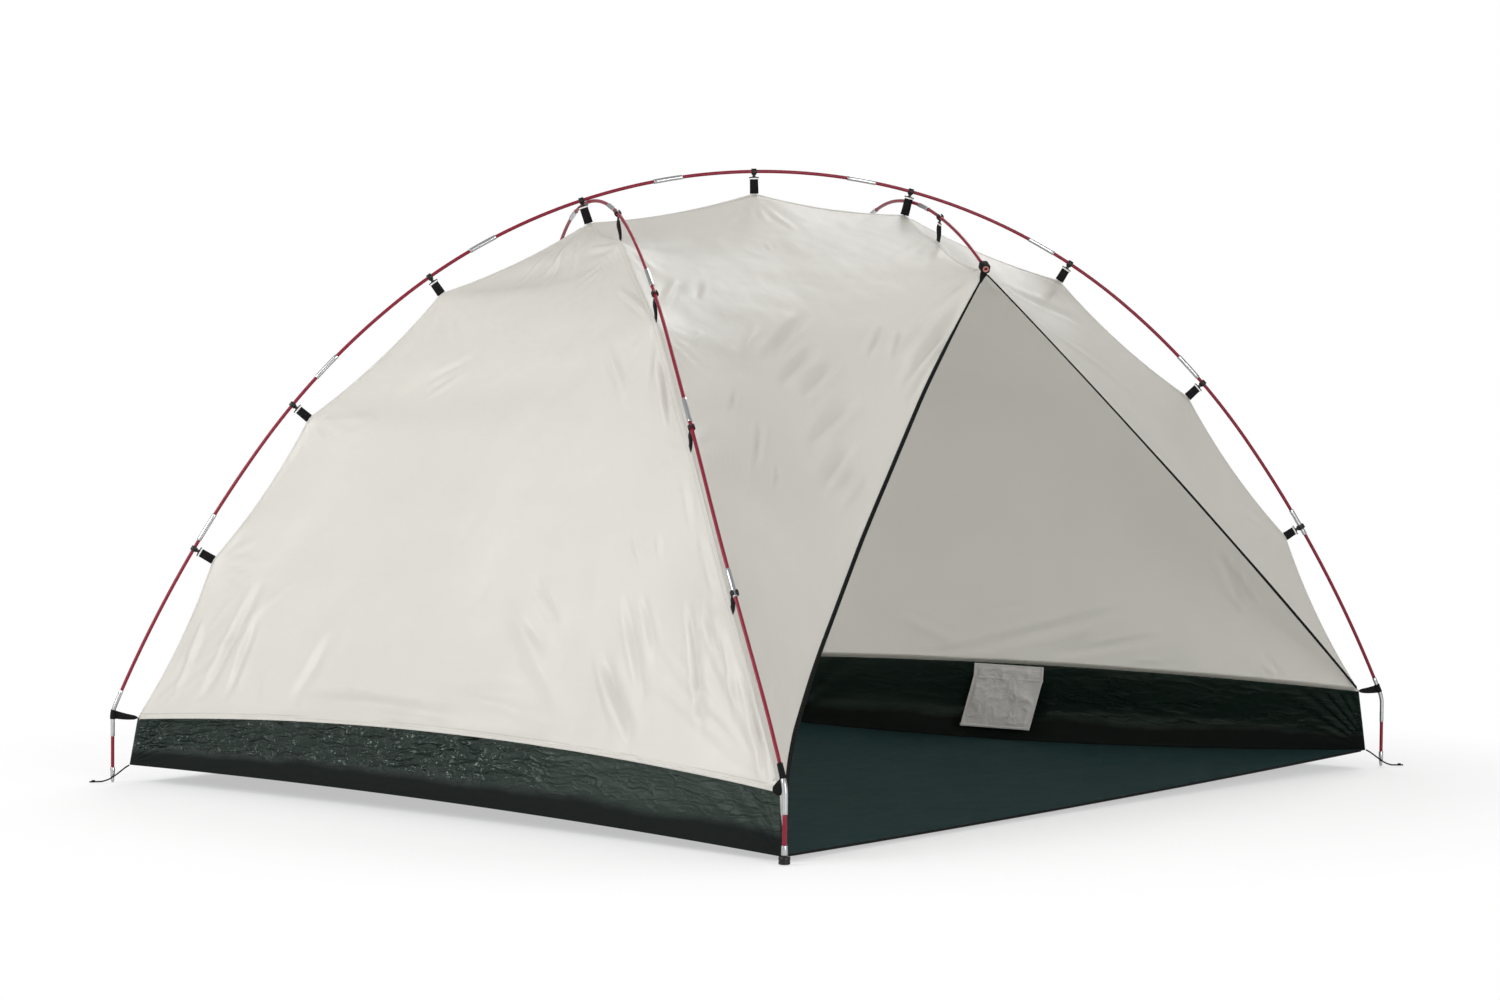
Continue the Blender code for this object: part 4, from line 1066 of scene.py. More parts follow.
class TENT_OT_poles(bpy.types.Operator):
    """Makes the rods of the three poles and the metal sleeves that join them"""

    bl_idname = "tent.make_poles"
    bl_label = "Make Poles"

    def execute(self, context):
        sizes = context.scene.tent_poles
        trim = ELBOW_UPPER_ARM - PLUG_DEPTH
        for pole, (route, shares) in POLES.items():
            joints = np.cumsum([SECTION * share for share in shares])
            start = 0.0 if pole == "porch_pole" else trim
            for index, end in enumerate(joints, 1):
                node = f"{pole}_section_{index}"
                last = index == len(joints)
                stop = route.length - trim if last else end - FIT_GAP / 2
                points = route.between(start, stop, 0.010)
                ease = (points[1] - points[0]) * 0.06
                points = np.concatenate(([points[0], points[0] + ease], points[1:-1],
                                         [points[-1] - ease, points[-1]]))
                radii = np.full(len(points), sizes.rod_radius)
                radii[[0, -1]] *= 0.82
                add_piece(f"{node}_rod", rod_mesh(points, radii), "lacquered_rod", "rod", node)
                if not last:
                    half = SLEEVE_LENGTH / 2
                    profile = tube_profile(end - half, end + half, sizes.rod_radius + 0.0001,
                                           sizes.sleeve_radius, 0.0006)
                    add_piece(f"{node}_sleeve", collar_mesh(route, profile), "drawn_metal",
                              "steel", node)
                start = end + FIT_GAP / 2
        return {"FINISHED"}


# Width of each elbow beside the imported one, the flare of the front one and its leg's width
ELBOW_WIDTHS = {"left": 0.89, "front": 1.12, "right": 0.89, "rear_right": 0.89, "rear_left": 0.89}
FRONT_ELBOW_FLARE = ((0, 0.020, 0.036), (0.80, 0.88, 1.0))
FRONT_LEG_WIDTH = 1.28


def elbow_route(foot, bend_reach=0.013):
    """The centre line of an elbow, from its upper mouth round the bend to its lower mouth."""
    bend, along, _ = FEET[foot]
    line = [bend + along * reach for reach in np.linspace(ELBOW_UPPER_ARM, bend_reach, 6)]
    for share in np.linspace(0, 1, 9)[1:]:
        first = bend + along * bend_reach * (1 - share)
        second = bend - UP * bend_reach * share
        line.append(first * (1 - share) + second * share)
    line += [bend - UP * reach for reach in np.linspace(bend_reach, ELBOW_LOWER_ARM, 6)[1:]]
    return Route(line)


class TENT_OT_feet(bpy.types.Operator):
    """Makes the bent elbows, the legs that turn in them, their metal ends and the foot cap"""

    bl_idname = "tent.make_feet"
    bl_label = "Make Elbows and Legs"

    def execute(self, context):
        sizes = context.scene.tent_poles
        for foot in CORNERS:
            route = elbow_route(foot)
            name = f"elbow_{foot}"
            inner, outer = sizes.rod_radius + FIT_GAP, sizes.elbow_radius * ELBOW_WIDTHS[foot]
            profile = tube_profile(0, route.length, inner, outer, 0.0003)
            if foot == "front":
                profile = [(along, radius * np.interp(along, *FRONT_ELBOW_FLARE)
                            if radius > inner else radius) for along, radius in profile]
            add_piece(f"{name}_tube", collar_mesh(route, profile), "drawn_metal", "steel", name)
            self.make_leg(foot, sizes)
        return {"FINISHED"}

    def make_leg(self, foot, sizes):
        bend = FEET[foot][0]
        body = name = f"leg_{foot}"
        capped = foot == "front"
        end = FOOT_CAP_LENGTH if capped else TIP_LENGTH
        top = bend[2] - ELBOW_LOWER_ARM + PLUG_DEPTH
        wide = FRONT_LEG_WIDTH if capped else 1.0
        radius, sleeve = sizes.rod_radius * wide, sizes.sleeve_radius * wide
        line = Route([(bend[0], bend[1], top), (bend[0], bend[1], 0)])
        plug = line.between(0, PLUG_DEPTH, 0.006)
        rod = line.between(PLUG_DEPTH + 0.0005, top - end + 0.002, 0.006)
        radii = np.concatenate((np.full(len(plug), sizes.rod_radius), np.full(len(rod), radius)))
        radii[0] *= 0.85
        rod = np.concatenate((plug, rod))
        add_piece(f"{name}_rod", rod_mesh(rod, radii), "lacquered_rod", "rod", name, body=body)
        profile = tube_profile(top - end - TIP_SLEEVE_LENGTH, top - end, radius + 0.0001,
                               sleeve, 0.0005)
        add_piece(f"{name}_sleeve", collar_mesh(line, profile), "drawn_metal", "steel", name,
                  body=body)
        if capped:
            outline = [(0.0, 0.86), (0.0012, 0.97), (0.0030, 1.0), (0.0060, 0.93), (0.0090, 0.99),
                       (0.0118, 1.0), (0.0140, 0.90), (0.0152, 0.68), (0.0160, 0.46)]
            finish, slot, wide = "black_plastic", "clip", FOOT_CAP_RADIUS
        else:
            outline = [(0.0, 0.55), (0.0010, 0.80), (0.0025, 0.95), (0.0040, 1.0),
                       (0.0100, 1.0), (0.0112, 0.94), (0.0120, 0.90)]
            finish, slot, wide = "drawn_metal", "steel", 0.0034
        points = [(bend[0], bend[1], height) for height, _ in outline]
        mesh = rod_mesh(points, [wide * share for _, share in outline], 24)
        add_piece(f"{name}_end", mesh, finish, slot, name, body=body)


class TENT_OT_clips(bpy.types.Operator):
    """Makes each clip: a moulded hook on the pole and the webbing sewn to the cloth, with a pale
    band on the arch's and porch pole's clips
    """

    bl_idname = "tent.make_clips"
    bl_label = "Make Clips"

    def execute(self, context):
        clips = [(f"arch_clip_{index}", clip) for index, clip in enumerate(ARCH_CLIPS, 1)]
        clips += [(f"front_pole_clip_{index}", clip) for index, clip in enumerate(FRONT_CLIPS, 1)]
        clips.append(("porch_clip", PORCH_CLIP))
        for name, clip in clips:
            self.make_clip(name, clip, context.scene)
        return {"FINISHED"}

    def make_clip(self, name, clip, scene):
        route, share, reach, lean = clip
        along = share * route.length
        centre, tangent = route.at(along), route.tangent(along)
        down = route.inward(along, lean)
        side = np.cross(tangent, down)
        shares = next(shares for pole_route, shares in POLES.values() if pole_route is route)
        joints = np.cumsum([SECTION * part for part in shares])[:-1]
        on_sleeve = np.abs(joints - along).min() < SLEEVE_LENGTH / 2 + 0.008
        bore = (scene.tent_poles.sleeve_radius if on_sleeve else scene.tent_poles.rod_radius)
        middle = bore + 0.0005 + 0.0015

        def hook_point(degrees, radius):
            angle = math.radians(degrees)
            return centre + radius * (math.cos(angle) * down + math.sin(angle) * side)

        loop = [hook_point(angle, middle) for angle in np.linspace(-142, 142, 25)]
        lip = [hook_point(-150, middle + 0.0012), *loop, hook_point(150, middle + 0.0012)]
        hook = strip_mesh(lip, tangent, 0.0096, 0.0030)
        shank_top, shank_end = middle + 0.0006, middle + 0.0065
        levels = np.linspace(shank_top, shank_end, 5)
        shank = strip_mesh([centre + down * level for level in levels], tangent,
                           [0.0080, 0.0064, 0.0060, 0.0074, 0.0110], 0.0031)
        bar_level = centre + down * (shank_end + 0.0002)
        half = scene.tent_trim.strap_width / 2 + 0.0016
        bar = rod_mesh([bar_level + tangent * place for place in np.linspace(-half, half, 5)],
                       [0.0011, 0.0017, 0.0018, 0.0017, 0.0011], 12)
        add_piece(f"{name}_hook", joined([hook, shank, bar]), "black_plastic", "clip", name)
        width = scene.tent_trim.strap_width
        start, stop = shank_end + 0.0012, reach - 0.0004
        places = np.linspace(start, stop, 12)
        shares = (places - start) / (stop - start)
        slack = 0.0006 * np.sin(2 * math.pi * shares)
        line = [centre + down * place + side * sag for place, sag in zip(places, slack)]
        spread = width * (1 + 0.06 * shares**2)
        fold = 0.0020 + 0.0046 * np.sin(math.pi * np.clip(1 - shares, 0, 1) ** 1.6) ** 0.8
        add_piece(f"{name}_strap", strip_mesh(line, tangent, spread, fold), "black_webbing",
                  "webbing", name)
        if route is FRONT:
            return
        band_places = np.linspace(start - 0.0004, start + 0.0027, 4)
        band = strip_mesh([centre + down * place for place in band_places], tangent,
                          [width * 1.02, width * 1.14, width * 1.14, width * 1.02],
                          [0.0030, 0.0052, 0.0052, 0.0030])
        add_piece(f"{name}_band", band, "pale_plastic", "clip", name)


# Rows and columns of the panels' grids, fine and rough, and the rounds that each is relaxed for
ROWS, COLUMNS, PORCH_POINTS, LEFT_COLUMNS = 151, 145, 41, 297
ROUGH_ROWS, ROUGH_COLUMNS, ROUGH_PORCH_POINTS, ROUGH_LEFT_COLUMNS = 16, 11, 5, 21
ROUGH_ROUNDS, FINE_ROUNDS = 80, 60


def panel_grids(rows, columns, porch_points, left_columns, rounds):
    """The six panels' grids before their folds, relaxed and as they were ruled."""
    lines = cloth_lines(rows, columns, porch_points)
    front_edge, right_edge = entrance_edges(lines, rows - porch_points + 1, rows)
    porch = lines["porch_seam"].copy()
    setback = unit(porch[-1] - porch[0]) * PEAK_SETBACK
    shares = np.linspace(1, 0, max(2, len(porch) // 4))[:, None]
    porch[:len(shares)] += setback * shares

    def corner_panel(seam_side, left, right, count):
        edges = [lines[ridge] for ridge in (left, right)]
        tip = np.repeat(edges[0][-1][None], count, axis=0)
        return coons(seam_line(seam_side, count), tip, *edges)

    top = lines["top_ridge"]
    left = lines["front_ridge"]
    right = np.concatenate((front_edge[:0:-1], porch))
    foot = right[0] + 0.006 * (unit(right[1] - right[0]) + unit(left[0] - right[0]))
    right[0] = foot
    back_edge = right_edge[::-1].copy()
    back_edge[-1] = porch[0]
    grids = {
        "left": corner_panel("left", "left_ridge", "front_ridge", left_columns),
        "rear_right": corner_panel("rear_right", "right_ridge", "rear_right_ridge", columns),
        "rear_left": corner_panel("rear_left", "rear_left_ridge", "left_ridge", columns),
        "rear": coons(seam_line("rear", columns), top[::-1], lines["rear_right_ridge"],
                      lines["rear_left_ridge"]),
        "front": coons(bowed(left[0], right[0], columns, UP, 0), top, left, right),
        "right": coons(np.repeat(back_edge[0][None], porch_points, axis=0), porch, back_edge,
                       lines["right_ridge"]),
    }
    plain = {name: grid.copy() for name, grid in grids.items()}
    return {name: relaxed(grid, rounds) for name, grid in grids.items()}, plain


class Canopy:
    """The panels' final grids, kept for the seams, hems and stitches."""

    grids, normals = {}, {}


def make_panel_grids(fold_height):
    rough, rough_plain = panel_grids(
        ROUGH_ROWS, ROUGH_COLUMNS, ROUGH_PORCH_POINTS, ROUGH_LEFT_COLUMNS, ROUGH_ROUNDS)
    _, fine = panel_grids(ROWS, COLUMNS, PORCH_POINTS, LEFT_COLUMNS, 0)
    for name, grid in fine.items():
        rows, columns = grid.shape[:2]
        grid = grid + finer(rough[name] - rough_plain[name], rows, columns)
        grid = relaxed(grid, FINE_ROUNDS)
        normals = grid_normals(grid)
        edge = smooth_step(0.002, 0.018, border_distance(grid))
        push = panel_folds(name, grid, normals) * fold_height
        Canopy.grids[name] = grid + (push * edge)[..., None] * normals
        Canopy.normals[name] = grid_normals(Canopy.grids[name])


def rough_cloth(grid, height, seed):
    """Low swells and small crinkles."""
    return (height * noise_at(grid, 0.16, seed) + 0.45 * height * noise_at(grid, 0.06, seed + 1)
            + 0.16 * height * noise_at(grid, 0.022, seed + 2))


def creases(grid, normals, table):
    """Folds from a table of (across, up, across, up, height, width, bend) on the panel."""
    push = 0
    for row in np.array(table) / CREASE_UNITS:
        push = push + crease(grid, normals, grid_point(grid, *row[:2]),
                             grid_point(grid, *row[2:4]), *row[4:])
    return push


def edge_pulls(grid, normals, knots, inward_target, seed, height):
    """Short folds that run into the panel from each clip on its edge."""
    push = 0
    for index, knot in enumerate(knots):
        push = push + fan(grid, normals, knot, inward_target, 70, 4, 0.16, height, seed + index,
                          0.008)
    return push


# Folds that the cloth holds: where they start and end across and up the panel in thousandths, then
# their height in tenths of a millimetre, and their width and bend in millimetres
CREASE_UNITS = (1000, 1000, 1000, 1000, 10000, 1000, 1000)
LEFT_CREASES = (
    # Folds that fall to the left end of the seam
    (102, 225, 91, 25, -46, 14, 3), (125, 167, 136, 25, -30, 10, 2),
    (23, 175, 40, 33, 24, 10, 0), (170, 75, 193, 25, -16, 6, 0),
    (278, 150, 244, 25, -22, 16, 4),
    # Folds over the middle of the seam
    (585, 217, 682, 58, 40, 26, -6), (636, 242, 682, 175, -32, 9, 0),
    (619, 183, 659, 133, -26, 10, 0), (756, 133, 790, 25, -50, 12, 2),
    (739, 142, 767, 33, 22, 10, 0), (807, 217, 818, 83, -40, 12, 2),
    (841, 217, 847, 150, -26, 8, 0),
    # Folds beside the front ridge, near the foot
    (926, 217, 903, 50, -46, 11, 2), (960, 217, 949, 150, -28, 8, 0),
    (972, 183, 960, 75, 28, 8, 0), (989, 142, 983, 8, -55, 9, 3),
    (972, 300, 977, 217, 30, 9, 0), (1000, 283, 1000, 217, 24, 6, 0),
    (835, 308, 847, 258, 22, 8, 0), (886, 300, 886, 267, 20, 8, 0),
    # The hollow along the seam, and its lip
    (261, 33, 540, 17, 50, 13, 6), (483, 58, 659, 33, 32, 12, 4), (597, 33, 705, 8, 26, 7, 2),
    (523, 83, 625, 83, -20, 8, 0),
    # Folds that fall from the crossing and the clips of the front ridge
    (744, 942, 420, 800, 50, 13, 3), (972, 808, 756, 850, 30, 8, 0),
    (909, 700, 989, 617, 34, 7, 0), (830, 592, 869, 500, 36, 9, 0),
    (989, 592, 938, 508, -30, 7, 0), (983, 558, 966, 442, -50, 8, 0),
    (1000, 533, 983, 417, 36, 7, 0), (222, 583, 347, 617, -18, 8, 0),
    (250, 550, 347, 592, 14, 8, 0), (1000, 400, 994, 317, -34, 8, 0),
    (966, 383, 955, 300, 24, 9, 0),
)
FRONT_CREASES = (
    # Long folds that fall from the entrance towards the front ridge
    (406, 592, 562, 700, -46, 12, 3), (469, 567, 594, 642, -42, 11, 2),
    (562, 558, 677, 617, -44, 12, 2), (635, 508, 781, 575, -46, 14, 3),
    (729, 467, 812, 517, -36, 13, 2), (833, 450, 906, 492, 26, 10, 0),
    (750, 458, 823, 500, 20, 8, 0), (750, 625, 781, 683, 26, 8, 0),
    (833, 625, 833, 675, 22, 7, 0),
    # Folds gathered under the peak
    (885, 617, 979, 700, 52, 10, 3), (927, 608, 990, 675, -40, 8, 2),
    (958, 617, 1000, 675, 30, 6, 1), (896, 592, 927, 625, 26, 9, 0),
    (948, 575, 979, 617, -24, 7, 0), (938, 717, 979, 733, -30, 7, 0),
    (896, 733, 969, 742, 22, 9, 0),
    # Small folds near the front ridge and under the top
    (323, 600, 396, 658, 22, 9, 0), (292, 542, 260, 500, -18, 6, 0),
    (396, 508, 385, 442, -24, 8, 0), (500, 458, 500, 433, -16, 6, 0),
    (62, 658, 146, 733, 24, 8, 0), (188, 692, 229, 742, -20, 9, 0),
    (479, 867, 500, 858, 14, 6, 0), (115, 583, 188, 617, 14, 6, 0),
)
RIGHT_CREASES = (
    (300, 860, 550, 600, 25, 12, 0), (550, 920, 800, 700, -22, 12, 0),
)
REAR_RIGHT_CREASES = (
    # Folds inside that run along the seam and rise to its end
    (792, 0, 615, 33, 30, 10, 0), (688, 17, 354, 117, 50, 12, 4),
    (521, 42, 417, 83, -30, 10, 0), (531, 17, 302, 75, 40, 9, 3), (406, 8, 302, 17, 34, 6, 0),
    (115, 233, 94, 142, -40, 8, 2), (135, 225, 135, 142, 26, 9, 0),
    (146, 158, 135, 117, -24, 6, 0), (135, 50, 125, 8, 30, 6, 0), (156, 25, 135, 0, 26, 5, 0),
    (615, 92, 542, 117, 16, 8, 0), (792, 83, 688, 33, -18, 12, 0),
)
REAR_CREASES = (
    (220, 50, 260, 220, 36, 12, 4), (300, 40, 520, 100, -34, 12, 6),
    (700, 50, 660, 240, 36, 12, -4), (780, 40, 600, 80, -30, 12, 4),
)


def rear_folds(seed):
    return (REAR_CREASES, 0.0018, seed, (
        ((0, 0), (0.5, 0.45), 40, 5, 0.50, 0.0024, seed, 0.012),
        ((0, -1), (0.5, 0.45), 40, 5, 0.50, 0.0024, seed + 1, 0.012),
        ((-1, 0), (0.5, 0.4), 50, 5, 0.30, 0.0020, seed + 5)), ())


# Each panel: its creases, the height and seed of its swells, its fans (corner, then target across
# and up, spread, count, reach, height, seed, width) and its pulls (clips, target, seed, height)
PANEL_FOLDS = {
    "left": (LEFT_CREASES, 0.0020, 11, (
        ("front", (0.74, 0.5), 42, 6, 0.50, 0.0026, 21, 0.012),
        ("left", (0.30, 0.42), 34, 5, 0.50, 0.0010, 22, 0.012),
        ((-1, 0), (0.5, 0.5), 60, 6, 0.30, 0.0020, 23)),
        ((FRONT_CLIPS, (0.45, 0.35), 30, 0.0016), (ARCH_CLIPS[:3], (0.5, 0.3), 40, 0.0014))),
    "front": (FRONT_CREASES, 0.0018, 51, (
        ((0, 0), (0.5, 0.3), 30, 4, 0.40, 0.0016, 53),
        ((-PORCH_POINTS, -1), (0.62, 0.42), 34, 5, 0.40, 0.0036, 57, 0.014)),
        ((FRONT_CLIPS + [ARCH_CLIPS[4], PORCH_CLIP], (0.55, 0.5), 54, 0.0014),)),
    "right": (RIGHT_CREASES, 0.0012, 71, (),
              ((ARCH_CLIPS[5:] + [PORCH_CLIP], (0.3, 0.5), 72, 0.0012),)),
    "rear": rear_folds(81),
    "rear_left": rear_folds(91),
    "rear_right": (REAR_RIGHT_CREASES, 0.0014, 101,
                   (((-1, 0), (0.5, 0.4), 50, 4, 0.26, 0.0012, 106),), ()),
}


def panel_folds(name, grid, normals):
    table, swell, seed, fans, pulls = PANEL_FOLDS[name]
    push = creases(grid, normals, table) + rough_cloth(grid, swell, seed)
    for corner, target, *sizes in fans:
        corner = seam_corner(corner) if isinstance(corner, str) else grid[corner]
        push += fan(grid, normals, corner, grid_point(grid, *target), *sizes)
    for clips, target, seed, height in pulls:
        knots = [clip_point(*clip) for clip in clips]
        push += edge_pulls(grid, normals, knots, grid_point(grid, *target), seed, height)
    return push


class TENT_OT_canopy(bpy.types.Operator):
    """Makes the six sewn panels of the canopy with their folds"""

    bl_idname = "tent.make_canopy"
    bl_label = "Make Canopy"

    def execute(self, context):
        sizes = context.scene.tent_cloth
        make_panel_grids(sizes.fold_height)
        for name, grid in Canopy.grids.items():
            mesh = sheet_mesh(grid, sizes.thickness, Canopy.normals[name])
            thing = add_piece(f"canopy_{name}", mesh, "canopy_cloth", "cloth", f"panel_{name}")
            declare_sheet(grid)
        return {"FINISHED"}


def edge_frame(name, edge):
    """(points, way into the panel, outward normal) along one edge of a panel."""
    grid, normals = Canopy.grids[name], Canopy.normals[name]
    pick = {"left": (np.s_[:, 0], np.s_[:, 3]), "right": (np.s_[:, -1], np.s_[:, -4]),
            "top": (np.s_[-1], np.s_[-4]), "bottom": (np.s_[0], np.s_[3])}[edge]
    line, inner, normal = grid[pick[0]], grid[pick[1]], normals[pick[1]]
    tangent = units(np.gradient(line, axis=0))
    way = inner - line
    way = way - tangent * (way * tangent).sum(axis=1, keepdims=True)
    for _ in range(6):
        way[1:-1] = (way[:-2] + 2 * way[1:-1] + way[2:]) / 4
    way = units(way)
    normal = units(normal - way * (normal * way).sum(axis=1, keepdims=True))
    return line, way, normal


# Each ridge: its two panels, with the edge of each that lies on it
RIDGES = {
    "left_ridge": (("rear_left", "right"), ("left", "left")),
    "front_ridge": (("left", "right"), ("front", "left")),
    "top_ridge": (("rear", "top"), ("front", "top")),
    "right_ridge": (("rear_right", "left"), ("right", "right")),
    "rear_left_ridge": (("rear", "right"), ("rear_left", "left")),
    "rear_right_ridge": (("rear", "left"), ("rear_right", "right")),
    "porch_seam": (("front", "right"), ("right", "top")),
}
HEMS = ("left", "rear_right", "rear", "rear_left")


def ridge_frames(ridge):
    """Frames of both sides of a ridge, point for point."""
    (first, first_edge), (second, second_edge) = RIDGES[ridge]
    one, two = edge_frame(first, first_edge), edge_frame(second, second_edge)
    if ridge == "porch_seam":
        one = tuple(part[-PORCH_POINTS:] for part in one)
    if ridge == "top_ridge":
        two = tuple(part[::-1] for part in two)
    return one, two


def stitch_line(points, way, normal, inset, lift):
    return points + way * inset + normal * lift


class Stitching:
    """Lines to be sewn, by the name of their stitch piece."""

    lines = {}


def sew(run, line):
    Stitching.lines.setdefault(run, []).append(np.asarray(line))


class TENT_OT_seams(bpy.types.Operator):
    """Makes the felled seams on the ridges and the hem where the canopy meets the tub"""

    bl_idname = "tent.make_seams"
    bl_label = "Make Seams and Hems"

    def execute(self, context):
        sizes = context.scene.tent_cloth
        half, lift, thin = sizes.seam_width, 0.00065, 0.0014
        for ridge in RIDGES:
            (line, in_one, up_one), (_, in_two, up_two) = ridge_frames(ridge)
            crown = units(up_one + up_two)
            grid = np.stack((
                line + in_one * half + up_one * lift * 0.6,
                line + in_one * half * 0.9 + up_one * lift,
                line + in_one * half * 0.5 + up_one * lift,
                line + in_one * thin + up_one * lift,
                line + crown * 0.0011,
                line + in_two * thin + up_two * lift,
                line + in_two * thin * 2 + up_two * lift * 0.5,
            ), axis=1)
            add_piece(f"seam_{ridge}", sheet_mesh(grid[2:-2], 0.0005), "canopy_cloth", "cloth")
            for inset in (half * 0.22, half * 0.82):
                sew("canopy_stitches",
                    stitch_line(line, in_one, up_one, inset, lift + 0.0004)[3:-3])
        for side in HEMS:
            self.make_hem(side, sizes.hem_width)
        return {"FINISHED"}

    def make_hem(self, side, width):
        line, way, normal = edge_frame(side, "bottom")
        wrinkle = noise_at(distances(line)[:, None], 0.012, 7) * 0.0004
        levels = (-0.0030, 0.0, width * 0.35, width * 0.7, width)
        lifts = (0.0010, 0.0010, 0.0009, 0.0007, 0.0002)
        grid = np.stack([
            line + way * level + normal * (lift + wrinkle * (1 if 0 < level else 0))[:, None]
            for level, lift in zip(levels, lifts)
        ])[:, 1:-1]
        add_piece(f"hem_{side}", sheet_mesh(grid, 0.0006), "canopy_cloth", "cloth")
        sew("canopy_stitches", stitch_line(line, way, normal, width * 0.36, 0.0014)[3:-3])


# Widths of the two tapes from their feet to the peak: places, then shares of the tape's width
LEFT_TAPE_WIDTHS = ((0, 0.45, 0.84, 0.93, 1), (1.25, 0.95, 0.85, 0.52, 0.36))
RIGHT_TAPE_WIDTHS = ((0, 1), (0.92, 0.40))


class TENT_OT_entrance(bpy.types.Operator):
    """Makes the folded tape round the entrance and the webbing pocket on the porch pole's end"""

    bl_idname = "tent.make_entrance"
    bl_label = "Make Entrance"

    def execute(self, context):
        width = context.scene.tent_trim.tape_width
        knot = PORCH.at(0) - UP * 0.0115
        tapes = []
        for frame, first, widths, depth, lift in (
            ([part[:ROWS - PORCH_POINTS + 1] for part in edge_frame("front", "right")], 2,
             LEFT_TAPE_WIDTHS, 0.0030, 0.0018),
            (edge_frame("right", "left"), 1, RIGHT_TAPE_WIDTHS, 0.0028, 0.0016),
        ):
            line, way, normal = frame
            wide = width * np.interp(np.linspace(0, 1, len(line)), *widths)
            middle = line + way * (wide[:, None] * 0.34)
            middle[-1] = knot
            tapes.append(strip_mesh(middle[first:], way[first:], wide[first:], depth))
            sew("tape_stitches", (line + way * (wide[:, None] * 0.60) + normal * lift)[3:-4])
        add_piece("entrance_tape", joined(tapes), "black_webbing", "webbing", "entrance_binding")
        self.make_peak()
        return {"FINISHED"}

    def make_peak(self):
        """The square webbing loop folded over the pole's end, and the plug in the hollow rod."""
        end, along = PORCH.at(0), PORCH.tangent(0)
        down = PORCH.inward(0.0)
        side = np.cross(along, down)
        reach = 0.0078
        loop = []
        for degrees in np.linspace(0, 360, 29)[:-1]:
            angle = math.radians(degrees)
            x, y = math.cos(angle), math.sin(angle)
            bulge = max(abs(x), abs(y))
            loop.append(end + along * 0.0076 + (side * x + down * y) * reach / bulge**0.9)
        loop.append(loop[0])
        tab_top = end + along * 0.004 + down * (reach - 0.0005)
        tab_end = Canopy.grids["front"][-PORCH_POINTS - 2, -1]
        line = bowed(tab_top, tab_end, 5, UP, 0)
        webbing = [strip_mesh(loop, along, 0.020, 0.0019),
                   strip_mesh(line, side, [0.014, 0.013, 0.010, 0.007, 0.004], 0.0020)]
        add_piece("peak_loop", joined(webbing), "black_webbing", "webbing", "entrance_binding")
        profile = [(0.0, 0.0034), (-0.0014, 0.0034), (-0.0026, 0.0042), (-0.0031, 0.0055),
                   (-0.0026, 0.0064), (-0.0006, 0.0066), (0.0040, 0.0061), (0.0040, 0.0038)]
        angles = np.linspace(0, 2 * math.pi, 25)[:-1]
        rings = [end + along * place + radius * circle(angles, side, down)
                 for place, radius in profile]
        faces = ring_faces(len(rings), len(angles), closed_path=True)
        mesh = welded(new_mesh(np.concatenate(rings), faces), 1e-7)
        add_piece("pole_end_cup", mesh, "copper_plug", "rod")


# Columns of the floor's grid on each side and its height, then rows and columns of a wall's grid,
# its rough height, how far it bellies out, and its profile from foot to seam
FLOOR_COLUMNS, FLOOR_BASE = 90, 0.0006
WALL, FINE_WALL = (46, 441), (56, 641)
WALL_HEIGHT, WALL_BELLY = 0.13, 0.021
WALL_PROFILE = ((0, 0), (0.15, 0.50), (0.30, 0.86), (0.40, 1), (0.46, 0.97), (0.55, 0.80),
                (0.68, 0.50), (0.82, 0.25), (0.92, 0.10), (1, 0))


